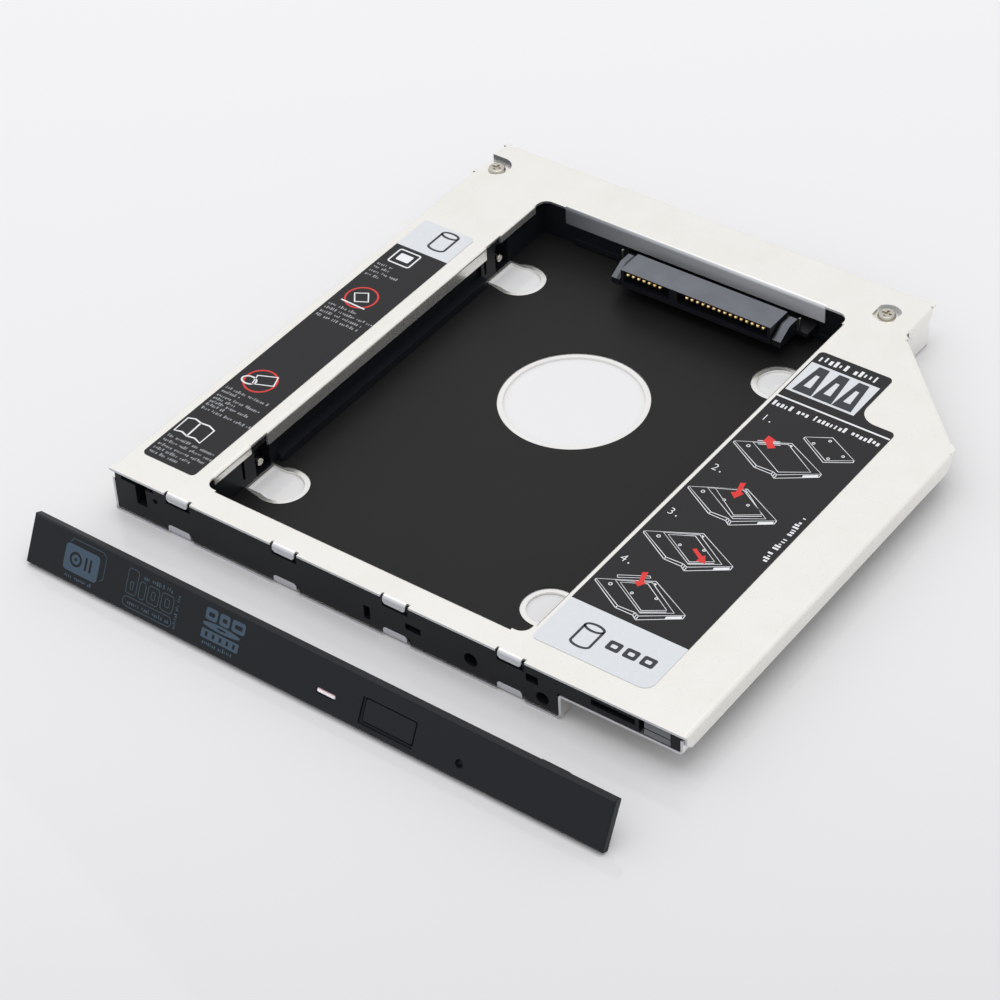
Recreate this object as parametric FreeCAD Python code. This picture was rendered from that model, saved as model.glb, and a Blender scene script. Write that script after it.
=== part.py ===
"""Laptop drive caddy for a slim optical bay, with its bezel lying in front of it.

Two folded sheets close round a black moulded frame. A drive drops through the opening
in the top sheet and plugs into the connector at the back of the bay. A small board joins
that connector to the plug at the rear, which meets the laptop.

Millimetres. While the pieces are made, X runs to the right from the middle of the caddy,
Y runs back from its front edge and Z runs up from the surface that it stands on. At the
end everything is moved so that the origin is the middle of the footprint.
"""
import FreeCAD, Part
import math
import os

from FreeCAD import Vector

# Caddy, from left to right and from front to rear: 128 by 126.1 in all, as a slim optical drive
LEFT_STRIP = 18.15          # left side to the opening
OPENING_WIDTH = 72.7
RIGHT_STRIP = 11.45         # opening to the step
WING_WIDTH = 25.7           # step to the right side
FRONT_STRIP = 5.9
OPENING_DEPTH = 107.7
REAR_STRIP = 12.5
CADDY_HEIGHT = 9.5
WING_HEIGHT = 4.4           # thin part on the right
NECK_LENGTH = 11.45         # straight side behind the slanted corner

# Folded sheets
SHEET = 0.5
BEND_RADIUS = 0.8           # outside of a bend
SEAM = 0.05                 # gap between two sheets that overlap
FRAME_GAP = 0.15            # gap between a sheet and the moulded frame
FLANGE_SETBACK = 1.2        # from a corner to the end of a flange
TOP_SIDE_FLANGE_LIFT = 0.6  # free edge of the top sheet's left flange, above the base
TOP_WING_FLANGE_LIFT = 0.7  # free edge of its wing flange, above the wing's underside
TOP_NECK_FLANGE = 3.0
TOP_REAR_FLANGE = 2.5
BOTTOM_SIDE_FLANGE_DROP = 1.9   # free edges of the bottom sheet's flanges, below the top
BOTTOM_REAR_FLANGE_DROP = 2.7
BOTTOM_WING_FLANGE_DROP = 1.1
BOTTOM_NECK_FLANGE_DROP = 0.9
FLANGE_CORNER = 1.4         # free corner of a flange

# Opening of the top sheet and the lips turned down round it
OPENING_CORNER = 2.2
SIDE_LIP = 3.2
END_LIP = 2.0               # the left lip beyond the notches at the drive holes
LIP_NOTCH = 4.8
FRONT_NOTCH_LEAD = 2.0      # from a notch's front end to the middle of its drive hole
REAR_NOTCH_LEAD = 4.2
FRONT_LIP = 1.5
REAR_LIP_GAP = 2.8          # between the rear lip and the board below it
REAR_LIP_SETBACK = 5.5      # from the opening's corner to the end of the rear lip

# Front tabs of both sheets
TAB_WIDTH = 5.3
TAB_COUNT = 4
FIRST_TAB_FROM_LEFT = 16.45
LAST_TAB_FROM_STEP = 10.55
TAB_CORNER = 0.45
TOP_TAB = 2.2
BOTTOM_TAB = 1.7
RELIEF_WIDTH = 0.45
RELIEF_DEPTH = 1.3

# Holes of the base, and of the film that lies on it
CENTRE_HOLE_RADIUS = 13.8
CENTRE_HOLE_FROM_REAR = 41.5    # places in the bay are from the edges of the opening
DRIVE_HOLE_RADIUS = 4.3
LEFT_HOLE_FROM_SIDE = 4.85
RIGHT_HOLE_FROM_SIDE = 6.15
FRONT_HOLE_FROM_FRONT = 15.5
REAR_HOLE_FROM_REAR = 15.6
DRIVE_SLOT_WIDTH = 7.8      # from each drive hole to the nearest side of the bay
DRIVE_SLOT_RIM = 0.5        # metal left bare beside the slot
FILM = 0.25
FILM_SETBACK = 1.1          # rim of metal left bare round each hole

# Cover screws in their recesses
RECESS_DEPTH = 1.0
LEFT_RECESS_RADIUS = 3.1
LEFT_SCREW_FROM_SIDE = 3.1
LEFT_SCREW_FROM_REAR = 8.1
RIGHT_RECESS_RADIUS = 2.9
RIGHT_STRAP_WIDTH = 4.0
RIGHT_SCREW_FROM_STEP = 5.8
RIGHT_SCREW_FROM_REAR = 7.85
SCREW_SHANK_RADIUS = 0.95
SCREW_FIT = 0.05
COVER_SCREW_HEAD_RADIUS = 1.9
COVER_SCREW_HEAD = 0.9
COVER_SCREW_LENGTH = 5.0
PAN_TAPER = 0.8             # top of a screw head, as a share of its foot
DRIVER_SLOT = 0.55
DRIVER_ARM = 0.55           # length of the cross, as a share of the head
DRIVER_DEPTH = 0.4

# Moulded frame
FRAME_WALL = 1.8
FRAME_RIB = 1.4
FRAME_FLOOR = 1.2
RAIL_WALL = 3.9             # left rail, between the bay and its cored pockets
CORE_PITCH = 16.0
RAIL_RELIEF = 0.8
LEDGE_WIDTH = 1.6
LEDGE_TOP = 2.6
LEDGE_GAP = 0.1             # between the ledge and the film under it
LEDGE_END_GAP = 5.4         # from the middle of a drive hole to the end of the ledge
PIN_POCKET_DEPTH = 3.0
PIN_POCKET_WIDTH = 4.3
PIN_POCKET_TOP = 7.0
PIN_POCKET_LEAD = 0.7
RAIL_SLOT_WIDTH = 0.7
RAIL_SLOT_DEPTH = 1.5
RAIL_SLOT_LEAD = 4.1
RAIL_SLOT_BOTTOM = 2.4
RAIL_SLOT_TOP = 6.9
REAR_RIB_BOTTOM = 1.0
REAR_RIB_TOP = 2.2
REAR_RIB_DEPTH = 0.6
LEFT_RIB_LENGTH = 11.5
LEFT_RIB_FROM_CORNER = 8.0
RIGHT_RIB_LENGTH = 5.7
RIGHT_RIB_FROM_CORNER = 3.5

# Holes in the front wall of the frame
LATCH_HOLE_FROM_LEFT = 7.35
LATCH_HOLE_WIDTH = 2.5
LATCH_HOLE_HEIGHT = 4.35
LATCH_HOLE_DROP = 1.5       # from the top of the caddy to the top of the hole
LATCH_GROOVE_LEFT = 4.55
LATCH_GROOVE_RIGHT = 3.15
KEY_HOLE_FROM_LEFT = 10.8
KEY_HOLE_DROP = 3.3
KEY_HOLE_RADIUS = 0.55
RIB_SLOT_FROM_STEP = 42.2
RIB_SLOT_PLAY = 0.2
LED_HOLE_FROM_STEP = 31.8
LED_HOLE_WIDTH = 3.4
LED_HOLE_HEIGHT = 1.5
LED_HOLE_Z = 4.65
BUTTON_FROM_STEP = 19.2
BUTTON_Z = 3.9
BUTTON_HOLE_RADIUS = 1.45
SNAP_HOLE_FROM_STEP = 6.0
SNAP_HOLE_WIDTH = 2.6
SNAP_HOLE_HEIGHT = 1.8
SNAP_HOLE_DROP = 2.3
PINHOLE_FROM_STEP = 3.9
PINHOLE_Z = 2.8
PINHOLE_GUIDE_RADIUS = 1.35
WING_SLOT_FROM_RIGHT = 14.8
WING_SLOT_WIDTH = 9.0
WING_SLOT_HEIGHT = 1.4
WING_SLOT_DROP = 1.2
FRONT_HOLE_DEPTH = 1.7

# Folded clip in the front end of the wing
CLIP_WIDTH = 5.3
CLIP_FROM_SIDE = 3.1
CLIP_SHEET = 0.3
CLIP_DEPTH = 1.5
CLIP_SLIT = 0.2
CLIP_GAP = 0.1
CLIP_LEAD = 1.0             # free space left of the clip

# Side pins that locate the drive
PIN_RADIUS = 0.8
PIN_REACH = 0.45            # past the face of the rail

# Drive connector, 7 + 15 contacts
CONTACT_PITCH = 1.27
SIGNAL_COUNT = 7
POWER_COUNT = 15
CONNECTOR_KEY_PITCH = 6.35  # from the last signal contact to the first power contact
CONNECTOR_OFFSET = 6.7      # to the right of the middle of the bay
CONNECTOR_FROM_REAR = 9.4   # its mouth, from the rear edge of the opening
CONNECTOR_DEPTH = 6.2
CONNECTOR_BOTTOM = 3.6
CONNECTOR_TOP = 7.6
CONNECTOR_END = 1.7         # from the last contact to the end of the housing
CONNECTOR_ARM_WIDTH = 2.3
CONNECTOR_ARM_GAP = 0.35
CONNECTOR_ARM_TOP = 6.8
CONNECTOR_ARM_NOSE = 1.8    # how far an arm slopes down to its front end, and over what length
CONNECTOR_ARM_SLOPE = 3.4
MOUTH_BOTTOM = 4.7
MOUTH_TOP = 7.3
MOUTH_DEPTH = 4.4
MOUTH_END = 1.0
KEY_WALL = 1.9
CONTACT_WIDTH = 0.8
CONTACT_THICKNESS = 0.25
CONTACT_SLOT = 0.05
CONTACT_SETBACK = 0.15
CONTACT_TIP = 0.75          # height of the turned-down tip
CONTACT_FOOT = 1.2
LEFT_LOCK_FROM_END = 3.9
RIGHT_LOCK_FROM_END = 2.7
LOCK_WIDTH = 0.4
LOCK_DEPTH = 0.5
LOCK_TOP = 7.0

# Adapter board
BOARD = 1.0
BOARD_BOTTOM = 3.0
BOARD_FRONT_WIDTH = 44.4
BOARD_FROM_SCREW = 3.5      # its right end, from the middle of the cover screw
BOARD_DEPTH = 9.2
BOARD_GAP = 0.3
BOARD_SCREW_SETBACK = 2.0
BOARD_SCREW_FROM_LEFT = 4.5
BOARD_SCREW_FROM_RIGHT = 2.5
BOARD_SCREW_LENGTH = 2.6
BOARD_SCREW_HEAD_RADIUS = 1.7
BOARD_SCREW_HEAD = 1.1

# Host connector at the rear, 7 + 6 contacts
HOST_FROM_BOARD_END = 1.5
HOST_WIDTH = 31.0
HOST_BOTTOM = 1.6
HOST_TOP = 6.4
HOST_WALL = 0.7
HOST_BACK_WALL = 1.4
HOST_TONGUE = 1.0
HOST_TONGUE_SETBACK = 1.2
HOST_GAP = 0.2
HOST_SIGNAL_COUNT = 7
HOST_POWER_COUNT = 6
HOST_POWER_PITCH = 1.0
HOST_KEY_PITCH = 3.9
HOST_CONTACT_WIDTH = 0.6
HOST_CONTACT_THICKNESS = 0.15

# Labels
LABEL = 0.12
LEFT_LABEL_FROM_SIDE = 2.3
LEFT_LABEL_FROM_OPENING = 3.35
LEFT_LABEL_FROM_FRONT = 6.7
LEFT_LABEL_FROM_REAR = 31.5
RIGHT_LABEL_FROM_OPENING = 1.25
RIGHT_LABEL_FROM_SIDE = 11.4
RIGHT_LABEL_FROM_FRONT = 5.9
RIGHT_LABEL_FROM_REAR = 24.9
RIGHT_LABEL_STEP = 8.5
RIGHT_LABEL_HEAD = 13.7
LABEL_CORNER = 1.0
LABEL_FOOT_CORNER = 2.2
LABEL_STEP_CORNER = 4.0

# Bezel, in its own frame: along its length, from its front face inwards, up
BEZEL_OVERHANG = 0.7        # how far it reaches past each side of the caddy when it is fitted
BEZEL_UNDERHANG = 0.125     # how far it reaches below and above
BEZEL_PLATE = 1.8
BEZEL_CHAMFER = 0.3
BEZEL_SHIFT = 2.95          # where it lies: its corner, left of the caddy and in front of it
BEZEL_DISTANCE = 21.43
BEZEL_YAW = -0.52
REST_RIB_LOW = 2.2
REST_RIB_HEIGHT = 2.9
REST_RIB_WIDTH = 1.0
REST_RIB_REACH = 4.45
LATCH_HOOK_WIDTH = 2.0
SNAP_HOOK_WIDTH = 2.0
WING_HOOK_WIDTH = 5.6
WING_HOOK_OFFSET = 1.2
HOOK_ARM = 0.7
HOOK_BARB = 0.6
HOOK_BARB_LENGTH = 1.0
HOOK_PLAY = 0.1

# Eject button, its window and the clips that hold it
BUTTON_WIDTH = 10.8
BUTTON_HEIGHT = 4.2
BUTTON_CORNER = 0.4
BUTTON_PLAY = 0.25
BUTTON_SKIN = 0.7           # plate left in front of the button's rim
BUTTON_RIM = 0.3
BUTTON_RIM_REACH = 0.7
BUTTON_RIM_GAP = 0.05
BUTTON_TRAVEL = 0.4
BUTTON_STOP_GAP = 0.05
BUTTON_POST_RADIUS = 0.7
BUTTON_POST_REACH = 2.0     # past the back of the plate
STOP_LIP_COVER = 0.5
LENS_FROM_STEP = 32.95
LENS_Z = 3.25
LENS_WIDTH = 4.3
LENS_HEIGHT = 1.1
LENS_PLAY = 0.05
PINHOLE_RADIUS = 0.8

# Places that follow from the sizes above
deep_width = LEFT_STRIP + OPENING_WIDTH + RIGHT_STRIP
caddy_width = deep_width + WING_WIDTH
left = -caddy_width / 2
right = caddy_width / 2
front = 0.0
rear = FRONT_STRIP + OPENING_DEPTH + REAR_STRIP
top = CADDY_HEIGHT
step_x = left + deep_width
wing_z = top - WING_HEIGHT
neck_x = step_x + SEAM + SHEET
corner_rear_y = rear - NECK_LENGTH
corner_front_y = corner_rear_y - (right - neck_x)
bend_in = BEND_RADIUS - SHEET

inner_left = left + SHEET + SEAM
inner_right = right - SHEET - SEAM
inner_rear = rear - SHEET - SEAM

opening_left = left + LEFT_STRIP
opening_right = opening_left + OPENING_WIDTH
opening_front = front + FRONT_STRIP
opening_rear = opening_front + OPENING_DEPTH
opening_x = (opening_left + opening_right) / 2

frame_left = inner_left + SHEET + FRAME_GAP
frame_right = inner_right - SHEET - FRAME_GAP
frame_deep_right = step_x - SHEET - FRAME_GAP
frame_front = front + SEAM
frame_rear = inner_rear - SHEET - FRAME_GAP
frame_bottom = SHEET + FRAME_GAP
frame_top = top - SHEET - FRAME_GAP
frame_wing_bottom = wing_z + SHEET + FRAME_GAP
wall_rear = frame_front + FRAME_WALL
lip_space = SHEET + FRAME_GAP
bay_left = opening_left - lip_space
bay_right = opening_right + lip_space
bay_front = opening_front - lip_space
bay_rear = opening_rear + lip_space

film_top = SHEET + FILM
shelf_top = top - RECESS_DEPTH
shelf_bottom = shelf_top - SHEET
left_screw = (left + LEFT_SCREW_FROM_SIDE, rear - LEFT_SCREW_FROM_REAR)
right_screw = (step_x - RIGHT_SCREW_FROM_STEP, rear - RIGHT_SCREW_FROM_REAR)
tab_pitch = (deep_width - FIRST_TAB_FROM_LEFT - LAST_TAB_FROM_STEP) / (TAB_COUNT - 1)
tab_starts = [left + FIRST_TAB_FROM_LEFT - TAB_WIDTH / 2 + tab_pitch * i for i in range(TAB_COUNT)]
drive_hole_rows = [opening_front + FRONT_HOLE_FROM_FRONT, opening_rear - REAR_HOLE_FROM_REAR]
left_column = opening_left + LEFT_HOLE_FROM_SIDE
right_column = opening_right - RIGHT_HOLE_FROM_SIDE
centre_hole_y = opening_rear - CENTRE_HOLE_FROM_REAR

connector_x = opening_x + CONNECTOR_OFFSET
connector_front = opening_rear - CONNECTOR_FROM_REAR
connector_rear = connector_front + CONNECTOR_DEPTH
contact_span = CONTACT_PITCH * (SIGNAL_COUNT + POWER_COUNT - 2) + CONNECTOR_KEY_PITCH
connector_half = contact_span / 2 + CONNECTOR_END
first_signal_x = connector_x - contact_span / 2
last_signal_x = first_signal_x + CONTACT_PITCH * (SIGNAL_COUNT - 1)
first_power_x = last_signal_x + CONNECTOR_KEY_PITCH

board_top = BOARD_BOTTOM + BOARD
board_front = connector_rear
board_rear = board_front + BOARD_DEPTH
board_left = connector_x - BOARD_FRONT_WIDTH / 2
board_front_right = connector_x + BOARD_FRONT_WIDTH / 2
board_right = right_screw[0] - BOARD_FROM_SCREW
board_wide_front = bay_rear + FRAME_RIB + BOARD_GAP
board_screw_y = board_rear - BOARD_SCREW_SETBACK
board_screw_places = [board_left + BOARD_SCREW_FROM_LEFT, board_right - BOARD_SCREW_FROM_RIGHT]
host_front = board_rear + 2 * SEAM
host_right = board_right - HOST_FROM_BOARD_END
host_left = host_right - HOST_WIDTH

latch_x = left + LATCH_HOLE_FROM_LEFT
latch_top = top - LATCH_HOLE_DROP
latch_bottom = latch_top - LATCH_HOLE_HEIGHT
rib_x = step_x - RIB_SLOT_FROM_STEP
button_x = step_x - BUTTON_FROM_STEP
lens_x = step_x - LENS_FROM_STEP
pinhole_x = step_x - PINHOLE_FROM_STEP
snap_x = step_x - SNAP_HOLE_FROM_STEP
snap_top = top - SNAP_HOLE_DROP
wing_slot_x = right - WING_SLOT_FROM_RIGHT
wing_slot_top = top - WING_SLOT_DROP

# Hooks of the bezel: place, width, the edge of the hole that they catch on, and which way they catch
hooks = [(latch_x, LATCH_HOOK_WIDTH, latch_bottom, -1), (snap_x, SNAP_HOOK_WIDTH, snap_top, 1),
         (wing_slot_x + WING_HOOK_OFFSET, WING_HOOK_WIDTH, wing_slot_top, 1)]
bezel_length = caddy_width + 2 * BEZEL_OVERHANG
bezel_height = CADDY_HEIGHT + 2 * BEZEL_UNDERHANG
bezel_tilt = math.degrees(math.atan2(REST_RIB_LOW, REST_RIB_REACH))


def block(x0, x1, y0, y1, z0, z1):
    """Rectangular solid between two corners."""
    return Part.makeBox(x1 - x0, y1 - y0, z1 - z0, Vector(x0, y0, z0))


def upright(x, y, z0, z1, radius):
    """Cylinder along Z."""
    return Part.makeCylinder(radius, z1 - z0, Vector(x, y, z0), Vector(0, 0, 1))


def bored(x, z, y0, y1, radius):
    """Cylinder along Y."""
    return Part.makeCylinder(radius, y1 - y0, Vector(x, y0, z), Vector(0, 1, 0))


def outline(corners, place):
    """Closed wire through corners (u, v, radius), with each corner rounded to its radius."""
    flat = [Vector(u, v, 0) for u, v, _ in corners]
    turns = []
    for i, point in enumerate(flat):
        radius = corners[i][2]
        if radius == 0:
            turns.append((point, None, point))
            continue
        back = (flat[i - 1] - point).normalize()
        ahead = (flat[(i + 1) % len(flat)] - point).normalize()
        half = back.getAngle(ahead) / 2
        middle = (back + ahead).normalize()
        reach = radius / math.tan(half)
        crown = point + middle * (radius / math.sin(half) - radius)
        turns.append((point + back * reach, crown, point + ahead * reach))
    edges = []
    for i, (start, crown, end) in enumerate(turns):
        if crown is not None:
            arc = Part.Arc(place(start.x, start.y), place(crown.x, crown.y), place(end.x, end.y))
            edges.append(arc.toShape())
        following = turns[(i + 1) % len(turns)][0]
        if (following - end).Length > 1e-6:
            line = Part.LineSegment(place(end.x, end.y), place(following.x, following.y))
            edges.append(line.toShape())
    return Part.Wire(edges)


def plate(corners, z0, z1):
    """Flat piece with a rounded outline in plan."""
    wire = outline(corners, lambda u, v: Vector(u, v, z0))
    return Part.Face(wire).extrude(Vector(0, 0, z1 - z0))


def section_along_y(corners, y0, y1):
    """Profile in X and Z, drawn out along Y."""
    wire = outline(corners, lambda u, v: Vector(u, y0, v))
    return Part.Face(wire).extrude(Vector(0, y1 - y0, 0))


def section_along_x(corners, x0, x1):
    """Profile in Y and Z, drawn out along X."""
    wire = outline(corners, lambda u, v: Vector(x0, u, v))
    return Part.Face(wire).extrude(Vector(x1 - x0, 0, 0))


def rectangle(x0, x1, y0, y1, radius):
    """Corners of a rectangle with rounded corners."""
    return [(x0, y0, radius), (x1, y0, radius), (x1, y1, radius), (x0, y1, radius)]


def joined(pieces):
    """One solid from pieces that touch or overlap."""
    whole = pieces[0].fuse(pieces[1:]) if len(pieces) > 1 else pieces[0]
    return whole.removeSplitter()


def cut_all(body, tools):
    """Body without all the tools."""
    return body.cut(tools) if tools else body


def folded(sheet, start, end, outward, face_z, reach, sign, corner=0.0):
    """Turn the sheet's edge from start to end over into a flange.

    The edge's outer face is at outward, the sheet's outer face is at face_z, and the
    flange runs down from it for sign -1 or up for sign 1. corner takes its free corners off.
    """
    run = Vector(end[0] - start[0], end[1] - start[1], 0)
    out = Vector(outward[0], outward[1], 0)
    base = Vector(start[0], start[1], face_z)

    def place(u, w):
        return base + out * u + Vector(0, 0, sign * w)

    profile = [(-BEND_RADIUS, 0, 0), (0, 0, BEND_RADIUS), (0, reach, 0), (-SHEET, reach, 0),
               (-SHEET, SHEET, bend_in), (-BEND_RADIUS, SHEET, 0)]
    flange = Part.Face(outline(profile, place)).extrude(run)
    if corner > 0:
        free = [edge for edge in flange.Edges if is_free_corner(edge, face_z + sign * reach, out)]
        flange = flange.makeChamfer(corner, free)
    strip = [(-BEND_RADIUS, -SHEET, 0), (SHEET, -SHEET, 0), (SHEET, 2 * SHEET, 0),
             (-BEND_RADIUS, 2 * SHEET, 0)]
    cleared = sheet.cut(Part.Face(outline(strip, place)).extrude(run))
    return cleared.fuse(flange).removeSplitter()


def is_free_corner(edge, level, out):
    """True for the short edges across the sheet at a flange's free end."""
    ends = [vertex.Point for vertex in edge.Vertexes]
    if len(ends) < 2 or any(abs(point.z - level) > 1e-6 for point in ends):
        return False
    along = (ends[1] - ends[0]).normalize()
    return abs(abs(along.dot(out)) - 1) < 1e-6


def screw(x, y, seat, head_radius, head_height, length):
    """Pan-head cross-recessed screw with its head on seat."""
    shank = upright(x, y, seat - length, seat, SCREW_SHANK_RADIUS)
    head = Part.makeCone(head_radius, head_radius * PAN_TAPER, head_height, Vector(x, y, seat),
                         Vector(0, 0, 1))
    arm = head_radius * DRIVER_ARM
    half = DRIVER_SLOT / 2
    deep = seat + head_height * DRIVER_DEPTH
    high = seat + head_height
    cross = joined([block(x - arm, x + arm, y - half, y + half, deep, high),
                    block(x - half, x + half, y - arm, y + arm, deep, high)])
    return joined([shank, head]).cut(cross)


def left_recess(radius, z0, z1):
    """U shape that opens through the left side, round the left screw."""
    x, y = left_screw
    far = x + radius
    return plate([(left - SHEET, y - radius, 0), (far, y - radius, radius * 0.98),
                  (far, y + radius, radius * 0.98), (left - SHEET, y + radius, 0)], z0, z1)


def front_tabs(sheet, face_z, reach, sign):
    """Fold the tabs along the front edge, each between two relief notches."""
    for start in tab_starts:
        end = start + TAB_WIDTH
        sheet = folded(sheet, (start, front), (end, front), (0, -1), face_z, reach, sign, TAB_CORNER)
        for x0 in (start - RELIEF_WIDTH, end):
            sheet = sheet.cut(block(x0, x0 + RELIEF_WIDTH, front - SHEET, front + RELIEF_DEPTH,
                                    face_z - 2 * SHEET, face_z + 2 * SHEET))
    return sheet


def drive_holes(rim, slot_rim, end_rim):
    """Tools for the four drive holes, each with a slot from the hole towards the side of the bay.

    rim widens the holes and slot_rim the slots. end_rim is left between a slot and the side.
    """
    half = DRIVE_SLOT_WIDTH / 2 + slot_rim
    tools = []
    for x, wall in ((left_column, bay_left + end_rim), (right_column, bay_right - end_rim)):
        for y in drive_hole_rows:
            tools.append(upright(x, y, -SHEET, 2 * SHEET, DRIVE_HOLE_RADIUS + rim))
            tools.append(block(min(x, wall), max(x, wall), y - half, y + half, -SHEET, 2 * SHEET))
    return tools


def top_cover():
    """Upper sheet: opening, lips, side flanges, front tabs and two screw recesses."""
    body = plate([(left, front, 0), (right, front, 0), (right, corner_front_y, 0),
                  (neck_x, corner_rear_y, 0), (neck_x, rear, 0), (left, rear, 0)],
                 top - SHEET, top)
    body = body.cut(plate(rectangle(opening_left, opening_right, opening_front, opening_rear,
                                    OPENING_CORNER), top - 2 * SHEET, top + SHEET))
    corner = OPENING_CORNER + FLANGE_SETBACK / 2
    lip_front = opening_front + corner
    lip_rear = opening_rear - corner
    lip_left = opening_left + REAR_LIP_SETBACK
    lip_right = opening_right - REAR_LIP_SETBACK
    rear_lip = top - board_top - REAR_LIP_GAP
    first_notch = drive_hole_rows[0] - FRONT_NOTCH_LEAD
    last_notch = drive_hole_rows[1] - REAR_NOTCH_LEAD
    lips = [((opening_left, lip_front), (opening_left, first_notch), (1, 0), END_LIP),
            ((opening_left, first_notch + LIP_NOTCH), (opening_left, last_notch), (1, 0), SIDE_LIP),
            ((opening_left, last_notch + LIP_NOTCH), (opening_left, lip_rear), (1, 0), END_LIP),
            ((opening_right, lip_front), (opening_right, lip_rear), (-1, 0), SIDE_LIP),
            ((opening_left + corner, opening_front), (opening_right - corner, opening_front), (0, 1),
             FRONT_LIP),
            ((lip_left, opening_rear), (lip_right, opening_rear), (0, -1), rear_lip)]
    for start, end, outward, reach in lips:
        body = folded(body, start, end, outward, top, reach, -1)

    slant = math.sqrt(0.5)
    setback = FLANGE_SETBACK
    side_flange = top - TOP_SIDE_FLANGE_LIFT
    wing_flange = WING_HEIGHT - TOP_WING_FLANGE_LIFT
    recess_y = left_screw[1]
    recess_half = LEFT_RECESS_RADIUS + SHEET + RELIEF_WIDTH
    flanges = [((left, front + setback), (left, recess_y - recess_half), (-1, 0), side_flange),
               ((left, recess_y + recess_half), (left, rear - setback), (-1, 0), side_flange),
               ((right, front + SHEET), (right, corner_front_y - setback), (1, 0), wing_flange),
               ((right - setback, corner_front_y + setback), (neck_x + setback, corner_rear_y - setback),
                (slant, slant), TOP_NECK_FLANGE),
               ((neck_x, corner_rear_y + setback), (neck_x, rear - setback), (1, 0), TOP_NECK_FLANGE),
               ((left + setback, rear), (neck_x - setback, rear), (0, 1), TOP_REAR_FLANGE)]
    for start, end, outward, reach in flanges:
        body = folded(body, start, end, outward, top, reach, -1, FLANGE_CORNER)
    body = front_tabs(body, top, TOP_TAB, -1)

    cup = left_recess(LEFT_RECESS_RADIUS + SHEET, shelf_bottom, top)
    cup = cup.cut(left_recess(LEFT_RECESS_RADIUS, shelf_top, top + SHEET))
    cup = cup.cut(block(left - 2 * SHEET, left, front, rear, 0, top + SHEET))
    body = body.cut(left_recess(LEFT_RECESS_RADIUS + SHEET, top - 2 * SHEET, top + SHEET)).fuse(cup)

    x, y = right_screw
    radius = RIGHT_RECESS_RADIUS
    half = RIGHT_STRAP_WIDTH / 2
    body = body.cut(upright(x, y, top - 2 * SHEET, top + SHEET, radius))
    strap = [block(x - radius, x + radius, y - half, y + half, shelf_bottom, shelf_top)]
    for x0 in (x - radius, x + radius - SHEET):
        strap.append(block(x0, x0 + SHEET, y - half, y + half, shelf_bottom, top))
    body = joined([body] + strap)
    holes = [upright(sx, sy, shelf_bottom - SHEET, top, SCREW_SHANK_RADIUS + SCREW_FIT)
             for sx, sy in (left_screw, right_screw)]
    return cut_all(body, holes)


def bottom_cover():
    """Lower sheet: base, step up to the wing, flanges, tabs and holes."""
    side_z = top - BOTTOM_SIDE_FLANGE_DROP
    wing_edge_z = top - BOTTOM_WING_FLANGE_DROP
    outer = [(inner_left, side_z, 0), (inner_left, 0, BEND_RADIUS), (step_x, 0, BEND_RADIUS),
             (step_x, wing_z, bend_in), (inner_right, wing_z, BEND_RADIUS), (inner_right, wing_edge_z, 0)]
    inner = [(inner_right - SHEET, wing_edge_z, 0), (inner_right - SHEET, wing_z + SHEET, bend_in),
             (step_x - SHEET, wing_z + SHEET, BEND_RADIUS), (step_x - SHEET, SHEET, bend_in),
             (inner_left + SHEET, SHEET, bend_in), (inner_left + SHEET, side_z, 0)]
    body = section_along_y(outer + inner, front, inner_rear)
    slant = math.sqrt(0.5)
    inset = (SHEET + SEAM) / slant
    cut_front = corner_front_y - inset + SHEET + SEAM
    cut_rear = corner_rear_y - inset + (neck_x - step_x)
    keep = plate([(left, front, 0), (inner_right, front, 0), (inner_right, cut_front, 0),
                  (step_x, cut_rear, 0), (step_x, inner_rear, 0), (left, inner_rear, 0)], -SHEET, top)
    body = body.common(keep)

    ends = BEND_RADIUS + SHEET
    body = folded(body, (inner_right - FLANGE_SETBACK, cut_front + FLANGE_SETBACK),
                  (step_x + ends, cut_rear - ends), (slant, slant), wing_z, wing_edge_z - wing_z, 1)
    body = body.fuse(block(step_x - SHEET, step_x, cut_rear + SHEET, inner_rear - ends, wing_z / 2,
                           top - BOTTOM_NECK_FLANGE_DROP))
    body = folded(body, (inner_left + ends, inner_rear), (step_x - ends, inner_rear), (0, 1), 0,
                  top - BOTTOM_REAR_FLANGE_DROP, 1)
    for x in (inner_left, step_x):
        body = body.cut(block(x - ends, x + ends, inner_rear - BEND_RADIUS, rear, -SHEET, top))

    body = front_tabs(body, 0, BOTTOM_TAB, 1)

    holes = [upright(opening_x, centre_hole_y, -SHEET, 2 * SHEET, CENTRE_HOLE_RADIUS),
             block(host_left - HOST_GAP, host_right + HOST_GAP, inner_rear - 2 * SHEET, rear,
                   HOST_BOTTOM - HOST_GAP, top)]
    return cut_all(body, holes + drive_holes(0, 0, DRIVE_SLOT_RIM))


def cored(x0, x1, y0, y1, floor):
    """Pockets cored from the top of the frame, in a grid with ribs between them."""
    columns = max(1, round((x1 - x0) / CORE_PITCH))
    rows = max(1, round((y1 - y0) / CORE_PITCH))
    wide = (x1 - x0 + FRAME_RIB) / columns
    deep = (y1 - y0 + FRAME_RIB) / rows
    pockets = []
    for column in range(columns):
        for row in range(rows):
            px = x0 + column * wide
            py = y0 + row * deep
            pockets.append(block(px, px + wide - FRAME_RIB, py, py + deep - FRAME_RIB, floor, top))
    return pockets


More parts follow.
